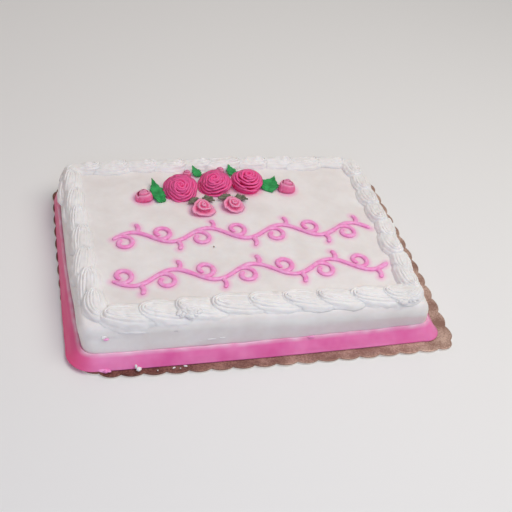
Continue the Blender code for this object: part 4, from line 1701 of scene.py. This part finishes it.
@dataclass
class Crumbs:
    """Crumbs of sponge that dropped on the board and on the cake."""

    density: float = 2600.0
    size: tuple[float, float] = (0.4, 1.0)

    def speck(self) -> Object:
        """One rough crumb, a millimetre across.

        Returns:
            The crumb, which is only a template.
        """
        bm = bmesh.new()
        bmesh.ops.create_icosphere(bm, subdivisions=2, radius=0.5 * MM)
        for vertex in bm.verts:
            vertex.co *= 1 + 0.35 * wobble(vertex.co, 0.35 * MM, 2.0)
            vertex.co.z *= 0.7
        return mesh_object("speck", bm, None)

    def ground(self, strips: Sequence[tuple[float, float, float, float, float]]) -> Object:
        """The places where crumbs fall.

        Args:
            strips: (low x, low y, high x, high y, height) of each place, in the board's frame.

        Returns:
            A guide mesh.
        """
        bm = bmesh.new()
        for x0, y0, x1, y1, z in strips:
            corners = ((x0, y0), (x1, y0), (x1, y1), (x0, y1))
            bm.faces.new([bm.verts.new((x, y, z)) for x, y in corners])
        return mesh_object("ground", bm, None)

    def tree(self, finish: Material) -> NodeTree:
        """The nodes that strew crumbs of many sizes.

        Args:
            finish: the crumbs' material.

        Returns:
            The tree.
        """
        numbers = dict.fromkeys(("Density", "Smallest", "Largest"), "Float")
        tree, given, add = new_tree("strewn", {"Speck": "Object", **numbers, "Seed": "Int"})
        seed = {"Seed": given["Seed"]}
        spread = {0: given["Geometry"], "Density": given["Density"]}
        points = add("GeometryNodeDistributePointsOnFaces", {**spread, **seed})
        speck = add("GeometryNodeObjectInfo", {"Object": given["Speck"]}).outputs["Geometry"]
        sizes = {2: given["Smallest"], 3: given["Largest"]}
        size = add("FunctionNodeRandomValue", {**sizes, **seed}, data_type="FLOAT").outputs[1]
        turns = {0: (0.0, 0.0, 0.0), 1: (0.4, 0.4, math.tau)}
        turn = add("FunctionNodeRandomValue", {**turns, **seed}, data_type="FLOAT_VECTOR")
        copies = {"Points": points, "Instance": speck, "Rotation": turn, "Scale": size}
        end_tree(tree, add("GeometryNodeInstanceOnPoints", copies).outputs[0], finish)
        return tree

    def build(self, name: str, strips: Sequence[tuple[float, ...]], finish: Material, seed: int) -> Object:
        """Strews crumbs over some strips.

        Args:
            name: the piece's name.
            strips: where they fall.
            finish: their material.
            seed: which scatter to use.

        Returns:
            The finished piece.
        """
        ground = self.ground(strips)
        ground.name = name
        speck = self.speck()
        values = {
            "Speck": speck, "Density": self.density, "Smallest": self.size[0], "Largest": self.size[1],
            "Seed": seed,
        }
        made = grown(ground, self.tree(finish), values)
        bpy.data.objects.remove(speck)
        return made


@dataclass(frozen=True)
class Drop:
    """A dab of icing: its middle from that of the iced block, and its size along X, Y and Z."""

    x: float
    y: float
    z: float
    length: float
    width: float
    height: float
    turn: float = 0.0


WHITE_DROPS = (
    Drop(-140 * MM, -172.8 * MM, 6.0 * MM, 6 * MM, 5 * MM, 5 * MM, 0.4),
    Drop(-143 * MM, -170.8 * MM, 8.0 * MM, 3 * MM, 3 * MM, 6 * MM),
    Drop(-101.5 * MM, -173.5 * MM, 4.6 * MM, 4.0 * MM, 2.0 * MM, 1.6 * MM, 0.3),
    Drop(-88.5 * MM, -172.3 * MM, 4.6 * MM, 4.4 * MM, 2.2 * MM, 1.8 * MM, -0.3),
    Drop(-94.5 * MM, -174.8 * MM, 4.5 * MM, 1.6 * MM, 1.4 * MM, 1.0 * MM),
    Drop(-119.5 * MM, -175.3 * MM, 4.5 * MM, 1.8 * MM, 1.3 * MM, 1.0 * MM, 0.8),
    Drop(-57.5 * MM, -155.3 * MM, 26.4 * MM, 12 * MM, 2.4 * MM, 2.4 * MM, 0.03),
    Drop(-45.5 * MM, -155.3 * MM, 27.4 * MM, 7 * MM, 2.2 * MM, 2.0 * MM, 0.05),
    Drop(-70.5 * MM, -155 * MM, 25.2 * MM, 6 * MM, 2.2 * MM, 2.0 * MM),
    Drop(-176.5 * MM, -153.4 * MM, 38.8 * MM, 6 * MM, 2.6 * MM, 3.6 * MM, 0.2),
)
PINK_DROPS = (
    Drop(-179.5 * MM, -168.3 * MM, 5.0 * MM, 20 * MM, 7 * MM, 3.2 * MM, -0.42),
    Drop(-175.5 * MM, -172.2 * MM, 6.0 * MM, 5 * MM, 4 * MM, 4 * MM, 0.5),
    Drop(-173.5 * MM, -153.9 * MM, 36.0 * MM, 6 * MM, 2.4 * MM, 2.6 * MM, 0.1),
    Drop(58.5 * MM, -157.3 * MM, 19.8 * MM, 9 * MM, 2.6 * MM, 2.0 * MM, 0.04),
)


# Middle, half size, number of lumps and seed of each shell that broke up
BROKEN_SHELLS = (
    (-84 * MM, -144 * MM, (13 * MM, 4.5 * MM), 16, 0.3), (171 * MM, -141 * MM, (16 * MM, 8 * MM), 30, 1.9),
)


@dataclass
class Dabs:
    """Dabs of icing that the spatula and the tip left behind, and shells that broke up as they were piped."""

    form: CakeForm
    rings: int = 9
    sides: int = 16

    def dab(self, bm: BMesh, drop: Drop) -> None:
        """Adds one lumpy dab.

        Args:
            bm: the mesh that gets it.
            drop: its place and size.
        """
        turned = Matrix.Rotation(drop.turn, 3, "Z")
        seed = drop.x / MM
        rows = []
        for i in range(self.rings + 1):
            tilt = math.pi * (i + 0.02) / (self.rings + 0.04)
            ring = []
            for k in range(self.sides):
                angle = math.tau * k / self.sides
                level = math.sin(tilt)
                out = Vector((level * math.cos(angle), level * math.sin(angle), math.cos(tilt)))
                out *= 1 + 0.28 * wobble(out, 0.8, seed) + 0.12 * wobble(out, 0.3, seed)
                spot = Vector((out.x * drop.length, out.y * drop.width, out.z * drop.height)) / 2
                ring.append(turned @ spot + Vector((drop.x, drop.y, drop.z)) + self.form.centre)
            rows.append(ring)
        loft(bm, rows)

    def broken(self, x: float, y: float, spread: tuple[float, float], count: int, seed: float) -> list[Drop]:
        """Lumps of a broken shell.

        Args:
            x: middle of the patch, in the block's own frame.
            y: the same along Y.
            spread: half the patch's size along X and Y.
            count: how many lumps it has.
            seed: which patch it is.

        Returns:
            The lumps, lying on the border.
        """
        lumps = []
        for k in range(count):
            around, reach = 2.4 * k + seed, math.sqrt((k + 0.5) / count)
            u = x + spread[0] * reach * math.cos(around)
            v = y + spread[1] * reach * math.sin(around)
            size = (4.4 + 2.0 * math.sin(3.1 * k + seed)) * MM
            inward = min(1.0, (v + self.form.width / 2) / (16 * MM))
            level = self.form.top(u, v) + (2.2 + 5.5 * inward) * MM
            lumps.append(Drop(u, v, level, 1.7 * size, size, 0.9 * size, 0.7 * math.sin(5 * k)))
        return lumps

    def build(self, name: str, drops: Sequence[Drop], finish: Material) -> Object:
        """Makes one piece of many dabs.

        Args:
            name: the piece's name.
            drops: where they lie.
            finish: their material.

        Returns:
            The finished piece.
        """
        bm = bmesh.new()
        for drop in drops:
            self.dab(bm, drop)
        return mesh_object(name, bm, finish)


# Camera, light and floor

# Name, place, side in metres, watts and colour of each lamp
LAMPS = (
    ("key", (0.6, -0.4, 1.65), 1.4, 18.5, "#FFF9EF"), ("front", (-0.3, -1.4, 1.3), 1.0, 6.3, "#BFD4FF"),
    ("back", (0.2, 1.5, 1.4), 1.4, 3.0, "#FFF1E2"), ("left", (-1.6, 0.0, 0.7), 1.2, 1.8, "#FFC39C"),
)


@dataclass
class Studio:
    """The camera at the photograph's angle, soft light, and a pale floor."""

    azimuth: float = math.radians(-17.893)
    elevation: float = math.radians(39.232)
    roll: float = math.radians(-8.436)
    eye: Vector = field(default_factory=lambda: Vector((-262.7, -864.9, 755.9)) * MM)
    lens: float = 65.53
    sensor: float = 36.0
    room_light: float = 0.28
    floor_half: float = 6.0

    def camera(self) -> None:
        """Sets the camera."""
        a, e, r = self.azimuth, self.elevation, self.roll
        back = Vector((math.sin(a) * math.cos(e), -math.cos(a) * math.cos(e), math.sin(e)))
        right = (-back).cross(UP).normalized()
        up = back.cross(right)
        rolled_right = right * math.cos(r) - up * math.sin(r)
        rolled_up = right * math.sin(r) + up * math.cos(r)
        data = bpy.data.cameras.new("camera")
        data.lens = self.lens
        data.sensor_width = self.sensor
        camera = new_object("camera", data)
        turned = Matrix((rolled_right, rolled_up, back)).transposed().to_4x4()
        camera.matrix_world = Matrix.Translation(self.eye) @ turned
        bpy.context.scene.camera = camera

    def lamp(
        self, name: str, place: tuple[float, float, float], size: float, watts: float, colour: str
    ) -> None:
        """Hangs a square soft light that faces the cake.

        Args:
            name: the light's name.
            place: where it hangs.
            size: its side in metres.
            watts: its power.
            colour: its sRGB colour.
        """
        data = bpy.data.lights.new(name, "AREA")
        data.size = size
        data.energy = watts
        data.color = linear(colour)[:3]
        lamp = new_object(name, data)
        aim = Vector((0, 0, 30 * MM)) - Vector(place)
        lamp.matrix_world = Matrix.Translation(place) @ aim.to_track_quat("-Z", "Y").to_matrix().to_4x4()

    def floor(self) -> None:
        """Lays the pale floor."""
        bm = bmesh.new()
        bmesh.ops.create_grid(bm, x_segments=1, y_segments=1, size=self.floor_half)
        # Matt paint: it shows the cake's soft shadow, bounces light up at its foot, and mirrors nothing.
        finish, shader, _ = new_finish("pale_floor_paint")
        feed(shader, {"Base Color": linear("#F3F3F3"), "Roughness": 0.7})
        mesh_object("floor", bm, finish)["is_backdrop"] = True

    def sky(self) -> None:
        """Fills the room with pale light."""
        world = bpy.data.worlds.new("room")
        world.use_nodes = True
        feed(world.node_tree.nodes["Background"], {"Color": linear("#F5F5F6"), "Strength": self.room_light})
        bpy.context.scene.world = world
        bpy.context.scene.view_settings.view_transform = "Standard"

    def build(self) -> None:
        """Sets everything up."""
        self.camera()
        for name, place, size, watts, colour in LAMPS:
            self.lamp(name, place, size, watts, colour)
        self.floor()
        self.sky()


def main() -> None:
    """Builds the cake from the board up, and reports each piece."""
    logging.basicConfig(level=logging.INFO, format="%(message)s")
    form = CakeForm()
    pantry = Pantry.stocked()
    Studio().build()

    board = CakeBoard()
    settle(board.sheet("board_card", 0.0, board.card, pantry.cut_edge), "board", "cake_board")
    settle(board.sheet("board_foil", board.card, board.thickness, pantry.foil), "board", "cake_board")

    scrollwork = Scrollwork(form)
    strokes = [line for plan in scrollwork.plans for line in scrollwork.lines(plan)]
    bed = FlowerBed(form)
    strokes += [bed.ring(flower) for flower in bed.flowers]
    block = IcedBlock(form, strokes=strokes).build(pantry.white)
    settle(block, "white_icing", "cake")
    settle(PinkBand(form).build(pantry.band), "band_icing", "pink_band")
    for side, row in ShellBorder(form).build(block, pantry.border).items():
        settle(row, "white_icing", "shell_border_" + side)
    for flower in bed.flowers:
        is_rose = flower.node.startswith("rose")
        piece = bed.build(flower, pantry.rose if is_rose else pantry.bud)
        settle(piece, "rose_icing" if is_rose else "bud_icing", flower.node)
    spray = LeafSpray(form)
    for leaf in spray.leaves:
        piece = spray.build(leaf, pantry.shaded_leaf if leaf.dark else pantry.leaf)
        settle(piece, "dark_leaf_icing" if leaf.dark else "leaf_icing", leaf.node)
    for node, row in scrollwork.build(block, pantry.scroll).items():
        settle(row, "scroll_icing", node)

    dabs = Dabs(form)
    broken = [lump for patch in BROKEN_SHELLS for lump in dabs.broken(*patch)]
    settle(dabs.build("border_lumps", broken, pantry.border), "white_icing")
    settle(dabs.build("white_dabs", WHITE_DROPS, pantry.border), "white_icing")
    settle(dabs.build("pink_dabs", PINK_DROPS, pantry.scroll), "scroll_icing")
    crumbs = Crumbs()
    settle(crumbs.build("sponge_crumbs", BOARD_STRIPS, pantry.crumb, 5), "board")
    settle(Crumbs(1.0e6, (1.6, 2.2)).build("crumb_on_top", TOP_STRIP, pantry.crumb, 2), "board")

    [[list(map(float, corner)) for corner in box] for box in (CAD_BOX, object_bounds())]


if __name__ == "__main__":
    main()
